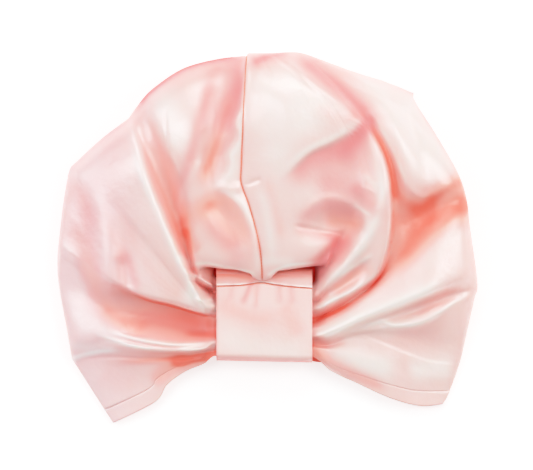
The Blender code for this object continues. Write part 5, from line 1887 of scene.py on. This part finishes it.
def satin(name):
    """The turban's satin."""
    material, shader = painted(name, {
        "IOR": SATIN_IOR,
        "Sheen Weight": SATIN_SHEEN,
        "Subsurface Weight": LIGHT_THROUGH,
        "Subsurface Radius": LIGHT_REACH,
        "Subsurface Scale": CLOTH_WALL,
    })
    tree = material.node_tree
    # The painted light of the folds and the painted shade, as stored on the mesh.
    depth = new_node(tree, "Attribute", {}, attribute_name="fold_depth").outputs["Fac"]
    painted_shade = new_node(tree, "Attribute", {}, attribute_name="painted_shade").outputs["Fac"]
    place_on = new_node(tree, "TexCoord", {}).outputs["Object"]
    crumple = noise(tree, place_on, CRUMPLE_SCALE, CRUMPLE_DETAIL)
    crease = noise(tree, place_on, CREASE_SCALE, CREASE_DETAIL)
    weave = new_node(tree, "TexWave", {"Vector": place_on, "Scale": THREAD_SCALE}).outputs["Fac"]
    # The shine is lowered where the painted fold light is deep and where shade is painted.
    gloss = ranged(tree, depth, GLOSS_FADE, SATIN_SHINE)
    lit = new_node(tree, "Math", {0: 1, 1: painted_shade}, operation="SUBTRACT", use_clamp=True)
    shine = new_node(tree, "Math", {0: gloss, 1: lit.outputs["Value"]}, operation="MULTIPLY")
    normal = bumped(tree, crumple, CRUMPLE_BUMP)
    normal = bumped(tree, crease, CREASE_BUMP, normal)
    normal = bumped(tree, weave, THREAD_BUMP, normal)
    colour = satin_colour(tree, depth, painted_shade, place_on)
    join(tree, shader.inputs["Base Color"], colour)
    join(tree, shader.inputs["Roughness"], ranged(tree, crumple, (0, 1), SATIN_ROUGHNESS))
    join(tree, shader.inputs["Specular IOR Level"], shine.outputs["Value"])
    join(tree, shader.inputs["Normal"], normal)
    return material


for name, piece in cloth.items():
    piece.data.materials.append(satin(f"{name}_satin"))
print(len(cloth), "pieces of satin")

# %% [markdown]
# The sewing thread is matte cotton, a deep salmon in the two seams and nearly the cloth's own
# colour in the hem. A fine noise along it stands for its twist.

# %% Mix the thread
THREAD_COLOURS = {"hem": (0.97, 0.60, 0.56, 1), "seam": (0.95, 0.27, 0.15, 1)}
THREAD_ROUGHNESS = 0.7
TWIST_SCALE = 1500
TWIST_DETAIL = 2
TWIST_BUMP = 0.00005


def cotton(name, colour):
    """Matte thread, uneven from its twist."""
    sockets = {"Base Color": colour, "Roughness": THREAD_ROUGHNESS}
    material, shader = painted(name, sockets)
    tree = material.node_tree
    place_on = new_node(tree, "TexCoord", {}).outputs["Object"]
    twist = noise(tree, place_on, TWIST_SCALE, TWIST_DETAIL)
    join(tree, shader.inputs["Normal"], bumped(tree, twist, TWIST_BUMP))
    return material


cottons = {name: cotton(f"{name}_cotton", colour) for name, colour in THREAD_COLOURS.items()}
for piece in threads:
    piece.data.materials.append(cottons["hem" if piece.name.startswith("hem") else "seam"])
print(len(threads), "threads")

# %% [markdown]
# Each piece of cloth is listed with the size it was cut to, and its measured area is printed beside
# that size. Each half of the crown is one gathered sheet, and its hem is the turned edge of the same
# sheet.

SHEETS = {
    "crown_left": ((0.24, 0.30), "gathered"),
    "crown_right": ((0.27, 0.31), "gathered"),
    "hem_left": ((0.012, 0.26), "folded"),
    "hem_right": ((0.012, 0.27), "folded"),
    "front_tab": ((0.0715, 0.14), "stretched"),
    "tab_strip": ((0.0715, 0.032), "stretched"),
}
SQUARE_CM = 0.0001


def surface(obj):
    """The area of an object's faces."""
    return sum(polygon.area for polygon in obj.data.polygons)


for name, (flat, held) in SHEETS.items():
    measured = surface(cloth[name]) / 2 / SQUARE_CM
    print(name, "measures", round(measured), "cm2 of", round(flat[0] * flat[1] / SQUARE_CM))
